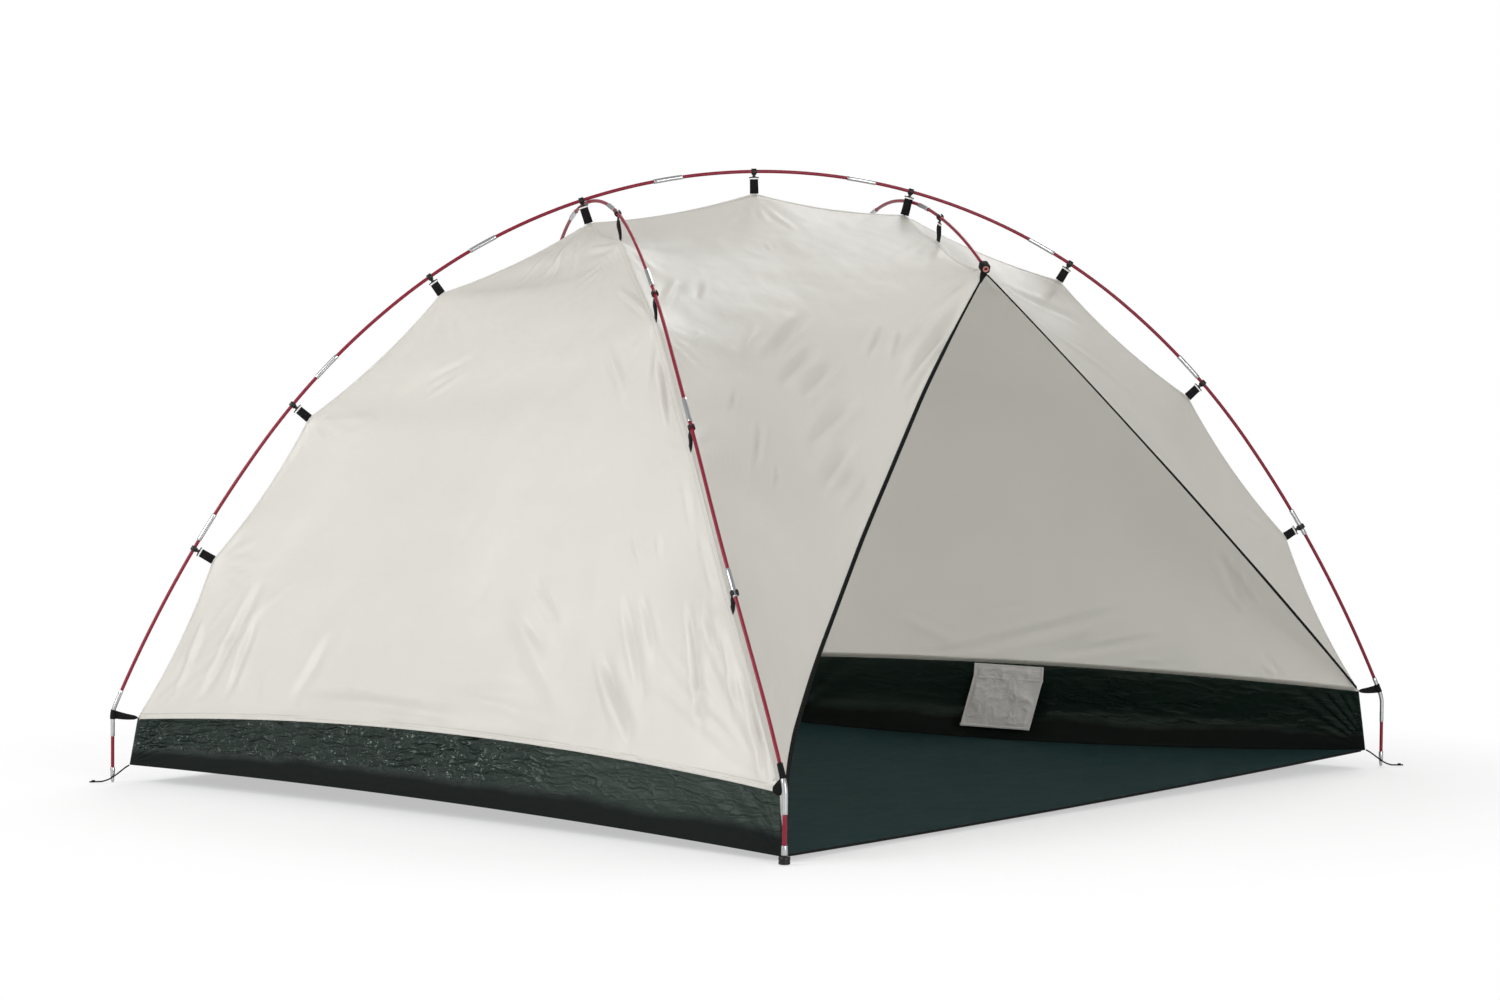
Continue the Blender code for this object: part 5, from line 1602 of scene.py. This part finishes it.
class TENT_OT_tub(bpy.types.Operator):
    """Makes the tub: its floor on the ground and its crumpled wall"""

    bl_idname = "tent.make_tub"
    bl_label = "Make Tub"

    def execute(self, context):
        sizes = context.scene.tent_tub
        edge = np.concatenate([floor_edge(side, FLOOR_COLUMNS + 1)[:-1] for side in SIDES])
        centre = np.array((*edge[:, :2].mean(axis=0), FLOOR_BASE))
        shares = np.concatenate((np.linspace(0.0, 0.9, 46)[1:], np.linspace(0.9, 1, 15)[1:]))
        rings = []
        for share in shares:
            ring = centre + (edge - centre) * share
            ring[:, 2] = FLOOR_BASE + edge[:, 2] * max(0.0, (share - 0.55) / 0.45) ** 1.15
            rings.append(ring)
        rings[-1] = edge + FLOOR_BASE * UP
        floor = np.array(rings)
        swell = (0.0016 * np.maximum(noise_at(floor[..., :2], 0.11, 5), 0)
                 + 0.0011 * np.maximum(noise_at(floor[..., :2], 0.035, 6), 0))
        lines = 1 - np.abs(noise_at(floor[..., :2], 0.20, 8)) * 7
        swell += 0.0018 * np.maximum(lines, 0)
        fade = smooth_step(1.0, 0.95, shares)[:, None]
        floor[..., 2] += swell * fade + 0.0003
        self.make_floor(floor, centre, sizes)
        self.make_wall(edge, centre, sizes)
        line = floor_edge("threshold", 121)[1:-1] + UP * 0.0012
        add_piece("threshold_binding", strip_mesh(line, UP, 0.0050, 0.0026), "black_webbing",
                  "webbing")
        return {"FINISHED"}

    def make_floor(self, floor, centre, sizes):
        closed = np.concatenate((floor, floor[:, :1]), axis=1)
        hub = np.repeat(np.array([[centre + UP * 0.0006]]), closed.shape[1], axis=1)
        grid = np.concatenate((hub, closed))
        normals = np.broadcast_to(UP, grid.shape).copy()
        rows, columns = grid.shape[:2]
        up = grid_normals(grid)
        up[up[..., 2] < 0] *= -1
        normals = np.where(up[..., 2:] > 0.2, up, normals)
        normals[:, -1] = normals[:, 0]
        normals[0] = UP
        index = np.arange(rows * columns).reshape(rows, columns)
        quads = np.stack((index[:-1, :-1], index[1:, :-1], index[1:, 1:], index[:-1, 1:]), axis=-1)
        mesh = two_sided(grid, normals, sizes.thickness, grid[..., :2], quads.reshape(-1, 4),
                         index[-1, ::-1])
        thing = add_piece("tub_floor", mesh, "tub_floor_cloth", "tub", "tub")

    def make_wall(self, edge, centre, sizes):
        """The four walls between the feet: crumpled above, rounded and smooth below."""
        for number, side in enumerate(("rear_right", "rear", "rear_left", "left")):
            crumpled = 1.0 if side in ("left", "rear_left") else 0.30
            rows, wide = FINE_WALL if side == "left" else WALL
            start = SIDES.index(side) * FLOOR_COLUMNS
            foot = edge[(start + np.arange(FLOOR_COLUMNS + 1)) % len(edge)]
            foot = finer(foot + FLOOR_BASE * UP, wide, 3)
            top = seam_line(side, wide) - UP * 0.0006
            out = units((foot - centre) * (1, 1, 0))
            share = np.linspace(0, 1, rows)[:, None]
            run = np.linspace(0, 1, wide)[None]
            grid = foot[None] * (1 - share[..., None]) + top[None] * share[..., None]
            belly = (WALL_BELLY * np.sin(math.pi * run) ** 0.5
                     * np.interp(share, *zip(*WALL_PROFILE)))
            length = np.linalg.norm(np.diff(top, axis=0), axis=1).sum()
            flat = paired(run * length + number * 3.0, share * WALL_HEIGHT)
            push = belly + sizes.crumple_height * self.crumple(flat, run, share, length, crumpled)
            grid = grid + out[None] * push[..., None]
            cloth = "crumpled_wall_cloth" if crumpled == 1.0 else "smooth_wall_cloth"
            thing = add_piece(f"tub_wall_{side}", sheet_mesh(grid, sizes.thickness), cloth, "tub",
                              "tub")
            declare_sheet(grid)

    def crumple(self, flat, run, share, length, crumpled):
        """Sharp small crumples that lie mostly along the wall, and folds that fan from its ends."""
        drawn = paired(flat[..., 0] * 0.24 + flat[..., 1] * 0.30, flat[..., 1])
        warp = paired(noise_at(flat, 0.05, 31), noise_at(flat, 0.05, 32)) * 0.010
        sharp = (1 - 2.2 * np.abs(noise_at(drawn + warp, 0.030, 33))) * 0.42
        sharp += (1 - 2.2 * np.abs(noise_at(drawn + warp * 0.7, 0.015, 34))) * 0.20
        sharp += (1 - 2.2 * np.abs(noise_at(drawn + warp * 0.4, 0.0080, 35))) * 0.08
        sharp -= 0.55 * np.maximum(noise_at(drawn * (0.6, 1.0), 0.050, 40), 0)
        patchy = 0.70 + 0.30 * noise_at(flat, 0.14, 36)
        limit = share + 0.05 * noise_at(flat, 0.10, 39)
        above = smooth_step(0.30, 0.46, limit) * smooth_step(1.0, 0.95, share)
        calm = 1 - 0.65 * smooth_step(0.55, 0.80, run)
        fans = 0
        for end, ribs_in_turn, far in ((run, 30.0, 0.22), (1 - run, 19.0, 0.36)):
            away = end * length
            angle = np.arctan2(share * WALL_HEIGHT, away + 0.012)
            ribs = np.sin(angle * ribs_in_turn + 2.5 * noise_at(flat, 0.20, 37))
            fans = fans + ribs * smooth_step(0.0, 0.03, away) * smooth_step(far, 0.05, away)
        ends = smooth_step(0.0, 0.04, run * length) * smooth_step(0.0, 0.04, (1 - run) * length)
        low = smooth_step(0.0, 0.12, share) * smooth_step(1.0, 0.90, share)
        return (sharp * patchy * above * ends * calm * crumpled + 0.26 * fans * low
                + 0.22 * noise_at(drawn, 0.09, 38) * low * ends)


# Corner straps: how far down the elbow the wrap starts and ends and its tail starts, then the
# tail's widths from the wrap to the tub
STRAP_PLACES = {
    "left": (0.042, 0.060, 0.051, (0.0165, 0.0145, 0.0115, 0.0085, 0.003)),
    "front": (0.0, 0.030, 0.028, (0.008, 0.013, 0.015, 0.017, 0.017)),
    "right": (0.015, 0.032, 0.0235, (0.0165, 0.0145, 0.0115, 0.0085, 0.003)),
}


class TENT_OT_straps(bpy.types.Operator):
    """Makes the webbing that draws the tub's corners out to the poles"""

    bl_idname = "tent.make_corner_straps"
    bl_label = "Make Corner Straps"

    def execute(self, context):
        sizes = context.scene.tent_poles
        for foot in STRAPPED:
            _, _, inside = FEET[foot]
            first, last, tail_place, tail_widths = STRAP_PLACES[foot]
            target = seam_corner(foot) - inside * 0.0005 + UP * 0.0005
            elbow = elbow_route(foot)
            middle, axis = elbow.at(tail_place), -elbow.tangent(tail_place)
            way = unit(target - middle - axis * axis.dot(target - middle))
            radius = sizes.elbow_radius * ELBOW_WIDTHS[foot]
            flare = FRONT_ELBOW_FLARE if foot == "front" else ((0, 1), (1, 1))
            levels = np.linspace(first, last, 7)
            outer = [(level, radius * np.interp(level, *flare) + 0.0012) for level in levels]
            wrap = collar_mesh(elbow, [
                (first, outer[0][1] - 0.0010), *outer, (last, outer[-1][1] - 0.0010)])
            start = middle + way * (radius * 0.9)
            run = np.linspace(0, 1, 13)
            line = bowed(start, target, len(run), UP, 0)
            line += np.outer(np.sin(math.pi * run) * 0.0010, -UP)
            widths = np.interp(run, (0, 0.25, 0.6, 0.88, 1), tail_widths)
            straps = [wrap, strip_mesh(line, axis, widths, 0.0026)]
            if foot == "front":
                straps.append(self.corner_patch(line[0], seam_corner(foot)))
            name = f"corner_strap_{foot}"
            add_piece(f"{name}_webbing", joined(straps), "black_webbing", "webbing", name)
        return {"FINISHED"}

    def corner_patch(self, start, corner):
        """The kite of webbing that is sewn over the front corner of the canopy and the tub."""
        side = unit(seam_line("left", 60)[-2] - corner)
        outward = unit(np.cross(side, UP))
        if outward.dot(corner) < 0:
            outward = -outward
        end = corner + side * 0.008 - UP * 0.006 + outward * 0.0022
        line = bowed(start, end, 9, UP, 0)
        widths = np.interp(np.linspace(0, 1, 9), (0, 0.5, 0.8, 1), (0.008, 0.017, 0.021, 0.013))
        return strip_mesh(line, side, widths, 0.0018)


class TENT_OT_pocket(bpy.types.Operator):
    """Makes the wrinkled pocket that hangs inside from the seam"""

    bl_idname = "tent.make_pocket"
    bl_label = "Make Pocket"

    def execute(self, context):
        seam = Route(seam_line("rear_right", 11))
        middle = seam.length * POCKET_PLACE_SHARE
        start, end = seam.at(middle - POCKET_WIDTH / 2), seam.at(middle + POCKET_WIDTH / 2)
        along = unit((end - start) * (1, 1, 0))
        inside = unit(np.cross(UP, along))
        top = (start + end) / 2 + inside * 0.0024 - UP * POCKET_TOP_DROP
        rows, columns = 61, 73
        across = (np.linspace(0, 1, columns) - 0.5)[None, :, None]
        down = np.linspace(0, 1, rows)[:, None, None]
        sway = POCKET_DEPTH * np.sin(math.pi * down) * np.cos(math.pi * across)
        # The pocket's foot is drawn towards the left of the wall
        drift = 0.026 * np.maximum(down - 0.2, 0) / 0.8
        grid = (top + along * (across * POCKET_WIDTH + drift) - UP * down * POCKET_DROP
                + inside * (sway + down * POCKET_LEAN))
        flat = paired(across[..., 0] * POCKET_WIDTH, down[..., 0] * POCKET_DROP)
        edge = np.minimum(0.5 - np.abs(across[..., 0]), np.minimum(down[..., 0], 1 - down[..., 0]))
        calm = smooth_step(0.02, 0.12, edge)
        wrinkle = (1 - 2 * np.abs(noise_at(flat, 0.045, 61))) * 0.0020
        wrinkle += (1 - 2 * np.abs(noise_at(flat, 0.020, 62))) * 0.0012
        grid = grid + inside * (wrinkle * calm)[..., None]
        normals = grid_normals(grid)
        if normals[rows // 2, columns // 2].dot(inside) < 0:
            normals = -normals
        thing = add_piece("pocket_cloth", sheet_mesh(grid, 0.0010, normals), "pocket_cloth",
                          "pocket", "seam_pocket", body="seam_pocket")
        hems = []
        for line, way in (
            (grid[:, 0], along), (grid[:, -1], -along), (grid[-1], UP), (grid[4], -UP),
            (grid[12], -UP),
        ):
            line = line + way * 0.0028 + inside * 0.0002
            hems.append(strip_mesh(line, way, 0.0056, 0.0020))
            sew("pocket_stitches", (line + inside * 0.0013)[4:-3])
        trim = add_piece("pocket_hems", joined(hems), "pocket_cloth", "pocket", body="seam_pocket")
        declare_sheet(grid)
        return {"FINISHED"}


class TENT_OT_cords(bpy.types.Operator):
    """Makes the cord at each end of the arch, with its knot"""

    bl_idname = "tent.make_cords"
    bl_label = "Make Foot Cords"

    def execute(self, context):
        for name, side in (("foot_cord_left", 1), ("foot_cord_right", -1)):
            points = np.array([(x * side, y, z) for x, y, z in LEFT_CORD_ROUTE])
            thing = add_piece(f"{name}_braid", rod_mesh(points, CORD_RADIUS, 12), "braided_cord",
                              "webbing", name)
            knotted = add_piece(f"{name}_knot", self.knot(points, CORD_RADIUS), "braided_cord",
                                "webbing")
        return {"FINISHED"}

    def knot(self, points, radius):
        """A thumb knot round the cord near its tail."""
        centre, tangent = points[-2], unit(points[-1] - points[-3])
        side = unit(np.cross(tangent, UP))
        up = np.cross(side, tangent)
        line = []
        for turn in np.linspace(0, 1, 37):
            angle = 2 * math.pi * 2.2 * turn
            line.append(centre + tangent * (turn - 0.5) * 0.0052
                        + (side * math.cos(angle) + up * math.sin(angle)) * radius * 1.15
                        + UP * radius * 0.6)
        line = np.array(line)
        line[:, 2] = np.maximum(line[:, 2], radius * 0.9)
        return rod_mesh(line, radius * 0.8, 8)


# Nodes of the stitch tree (name, kind, settings, inputs), and its links (node, output, node, input)
STITCH_NODES = (
    ("source", "NodeGroupInput", {}, {}), ("result", "NodeGroupOutput", {}, {}),
    ("curve", "GeometryNodeMeshToCurve", {}, {}),
    ("spaced", "GeometryNodeResampleCurve", {"mode": "LENGTH"}, {}),
    ("tangent", "GeometryNodeInputTangent", {}, {}),
    ("turn", "FunctionNodeAlignRotationToVector", {"axis": "Z"}, {}),
    ("thread", "GeometryNodeMeshCylinder", {"fill_type": "TRIANGLE_FAN"}, {"Vertices": 6}),
    ("lay", "GeometryNodeInstanceOnPoints", {}, {}),
    ("wander", "FunctionNodeRandomValue", {"data_type": "FLOAT"}, {2: 0.88, 3: 1.12}),
    ("size", "ShaderNodeCombineXYZ", {}, {0: 1.0, 1: 1.0}),
    ("real", "GeometryNodeRealizeInstances", {}, {}),
    ("paint", "GeometryNodeSetMaterial", {}, {}),
)
STITCH_LINKS = (
    ("source", "Lines", "curve", "Mesh"), ("curve", "Curve", "spaced", "Curve"),
    ("source", "Pitch", "spaced", "Length"), ("source", "Thread Radius", "thread", "Radius"),
    ("source", "Stitch Length", "thread", "Depth"), ("tangent", "Tangent", "turn", "Vector"),
    ("spaced", "Curve", "lay", "Points"), ("thread", "Mesh", "lay", "Instance"),
    ("turn", "Rotation", "lay", "Rotation"), ("source", "Seed", "wander", "Seed"),
    ("wander", 1, "size", 2), ("size", 0, "lay", "Scale"),
    ("lay", "Instances", "real", "Geometry"), ("real", "Geometry", "paint", "Geometry"),
    ("paint", "Geometry", "result", "Stitches"),
)


def stitch_tree(material):
    """Stitches laid end to end along every line of the object that it is put on."""
    tree = bpy.data.node_groups.new("Stitches", "GeometryNodeTree")
    face = tree.interface
    face.new_socket("Lines", in_out="INPUT", socket_type="NodeSocketGeometry")
    for name, value in (("Pitch", 0.0055), ("Stitch Length", 0.0036), ("Thread Radius", 0.0004)):
        socket = face.new_socket(name, in_out="INPUT", socket_type="NodeSocketFloat")
        socket.default_value, socket.min_value = value, 0.0001
    seed = face.new_socket("Seed", in_out="INPUT", socket_type="NodeSocketInt")
    seed.default_value = 4
    face.new_socket("Stitches", in_out="OUTPUT", socket_type="NodeSocketGeometry")
    nodes = {}
    for name, kind, settings, inputs in STITCH_NODES:
        made = nodes[name] = tree.nodes.new(kind)
        for key, value in settings.items():
            setattr(made, key, value)
        for key, value in inputs.items():
            made.inputs[key].default_value = value
    nodes["paint"].inputs["Material"].default_value = material
    for first, output, second, socket in STITCH_LINKS:
        tree.links.new(nodes[first].outputs[output], nodes[second].inputs[socket])
    return tree


class TENT_OT_stitches(bpy.types.Operator):
    """Sews the seams, hems, tape and pocket with Geometry Nodes"""

    bl_idname = "tent.make_stitches"
    bl_label = "Make Stitches"

    def execute(self, context):
        sizes = context.scene.tent_trim
        kinds = {"canopy_stitches": ("pale_thread", TENT, "cloth"),
                 "tape_stitches": ("black_thread", TENT, "webbing"),
                 "pocket_stitches": ("pale_thread", "seam_pocket", "pocket")}
        for name, (thread, body, slot) in kinds.items():
            points, edges = [], []
            for line in Stitching.lines.get(name, []):
                first = len(points)
                points.extend(tuple(point) for point in line)
                edges.extend((index, index + 1) for index in range(first, len(points) - 1))
            guide = bpy.data.meshes.new(f"{name}_lines")
            guide.from_pydata(points, edges, [])
            holder = bpy.data.objects.new(f"{name}_lines", guide)
            context.scene.collection.objects.link(holder)
            tree = stitch_tree(finishes()[thread])
            modifier = holder.modifiers.new("Stitches", "NODES")
            modifier.node_group = tree
            wanted = {"Pitch": sizes.stitch_pitch, "Stitch Length": sizes.stitch_length,
                      "Thread Radius": sizes.thread_radius}
            for socket in tree.interface.items_tree:
                if socket.in_out == "INPUT" and socket.name in wanted:
                    modifier[socket.identifier] = wanted[socket.name]
            context.view_layer.update()
            graph = context.evaluated_depsgraph_get()
            mesh = bpy.data.meshes.new_from_object(holder.evaluated_get(graph))
            holder.modifiers.clear()
            bpy.data.objects.remove(holder, do_unlink=True)
            mesh.shade_smooth()
            if not mesh.polygons:
                raise RuntimeError(f"{name} has no stitches")
            add_piece(name, mesh, thread, slot, body=body)
        return {"FINISHED"}


# The camera that the photograph was taken with, fitted to the pole joints
CAMERA_PLACE = (-2.2923, -11.7967, 1.3878)
CAMERA_YAW, CAMERA_PITCH, CAMERA_ROLL = (math.radians(a) for a in (10.879, -3.951, 0.523))
CAMERA_LENS = 5943.05 * 36 / 1500


class TENT_OT_stage(bpy.types.Operator):
    """Makes the pale ground, the soft light and the camera"""

    bl_idname = "tent.make_stage"
    bl_label = "Make Stage"

    def execute(self, context):
        settings = context.scene.tent_stage
        context.scene.view_settings.view_transform = "Standard"
        self.make_camera(context.scene)
        self.make_ground(context.scene, settings)
        self.make_light(context.scene, settings)
        return {"FINISHED"}

    def make_camera(self, scene):
        lens = bpy.data.cameras.new("photo_camera")
        lens.sensor_width, lens.lens = 36, CAMERA_LENS
        lens.clip_start, lens.clip_end = 0.1, 100
        camera = bpy.data.objects.new("photo_camera", lens)
        scene.collection.objects.link(camera)
        camera.matrix_world = (
            Matrix.Translation(CAMERA_PLACE) @ Matrix.Rotation(-CAMERA_YAW, 4, "Z")
            @ Matrix.Rotation(math.pi / 2 + CAMERA_PITCH, 4, "X")
            @ Matrix.Rotation(CAMERA_ROLL, 4, "Z"))
        scene.camera = camera

    def make_ground(self, scene, settings):
        build = bmesh.new()
        bmesh.ops.create_circle(build, cap_ends=True, segments=96, radius=30)
        mesh = bpy.data.meshes.new("ground")
        build.to_mesh(mesh)
        build.free()
        ground = bpy.data.objects.new("ground", mesh)
        scene.collection.objects.link(ground)
        ground.location = (0, 0, -0.0012)
        finish = Finish("ground", settings.floor_colour, 0.9)
        x, y, _ = finish.parts(finish.object_place())
        spread = (x * x / 3.2 + (y + 0.2) * (y + 0.2) / 2.6) ** 0.5
        near = finish.range(spread, 0.5, 0.0, 0.72, 1.05)
        finish.blend(finish.seen() * (1 - near), finish.node("ShaderNodeEmission"))
        mesh.materials.append(finish.material)

    def make_light(self, scene, settings):
        world = bpy.data.worlds.new("studio")
        scene.world = world
        world.use_nodes = True
        sky = Nodes(world.node_tree)
        sky.tree.nodes.clear()
        strength = sky.range(sky.seen(), settings.sky_strength, 1.0)
        background = sky.node("ShaderNodeBackground", {}, {"Color": (1, 1, 1),
                                                           "Strength": strength})
        sky.feed(sky.tree.nodes.new("ShaderNodeOutputWorld").inputs["Surface"], background)
        for name, power, size, place, aim in (
            ("key_light", settings.key_power, 3.6, (-6.0, -2.4, 3.5), (-0.3, -0.2, 0.4)),
            ("fill_light", settings.fill_power, 3.0, (2.4, -7.6, 2.0), (0, 0, 0.4)),
            ("back_light", settings.back_power, 3.6, (3.0, 4.6, 4.9), (0, 0, 0.5)),
        ):
            lamp = bpy.data.lights.new(name, "AREA")
            lamp.shape, lamp.size, lamp.energy = "DISK", size, power
            light = bpy.data.objects.new(name, lamp)
            scene.collection.objects.link(light)
            way = Vector(aim) - Vector(place)
            light.matrix_world = Matrix.Translation(place) @ way.to_track_quat(
                "-Z", "Y").to_matrix().to_4x4()


OPERATORS = (TENT_OT_stage, TENT_OT_cords, TENT_OT_poles, TENT_OT_feet, TENT_OT_clips,
             TENT_OT_canopy, TENT_OT_seams, TENT_OT_entrance, TENT_OT_tub, TENT_OT_straps,
             TENT_OT_pocket, TENT_OT_stitches)


class TENT_PT_panel(bpy.types.Panel):
    """Lists the tent's pieces and their sizes and colours"""

    bl_label = "Beach Tent"
    bl_idname = "TENT_PT_panel"
    bl_space_type = "VIEW_3D"
    bl_region_type = "UI"
    bl_category = "Beach Tent"

    def draw(self, context):
        layout = self.layout
        for operator in OPERATORS:
            layout.operator(operator.bl_idname)
        for name, group in SETTINGS.items():
            box = layout.box()
            box.label(text=name.replace("_", " ").capitalize())
            for setting in group.__annotations__:
                box.prop(getattr(context.scene, name), setting)


def register():
    for group in (*SETTINGS.values(), *OPERATORS, TENT_PT_panel):
        bpy.utils.register_class(group)
    for name, group in SETTINGS.items():
        setattr(bpy.types.Scene, name, bpy.props.PointerProperty(type=group))


def unregister():
    for name in SETTINGS:
        delattr(bpy.types.Scene, name)
    for group in (TENT_PT_panel, *OPERATORS[::-1], *SETTINGS.values()):
        bpy.utils.unregister_class(group)


def main():
    register()
    for operator in OPERATORS:
        space, name = operator.bl_idname.split(".")
        getattr(getattr(bpy.ops, space), name)()


if __name__ == "__main__":
    main()
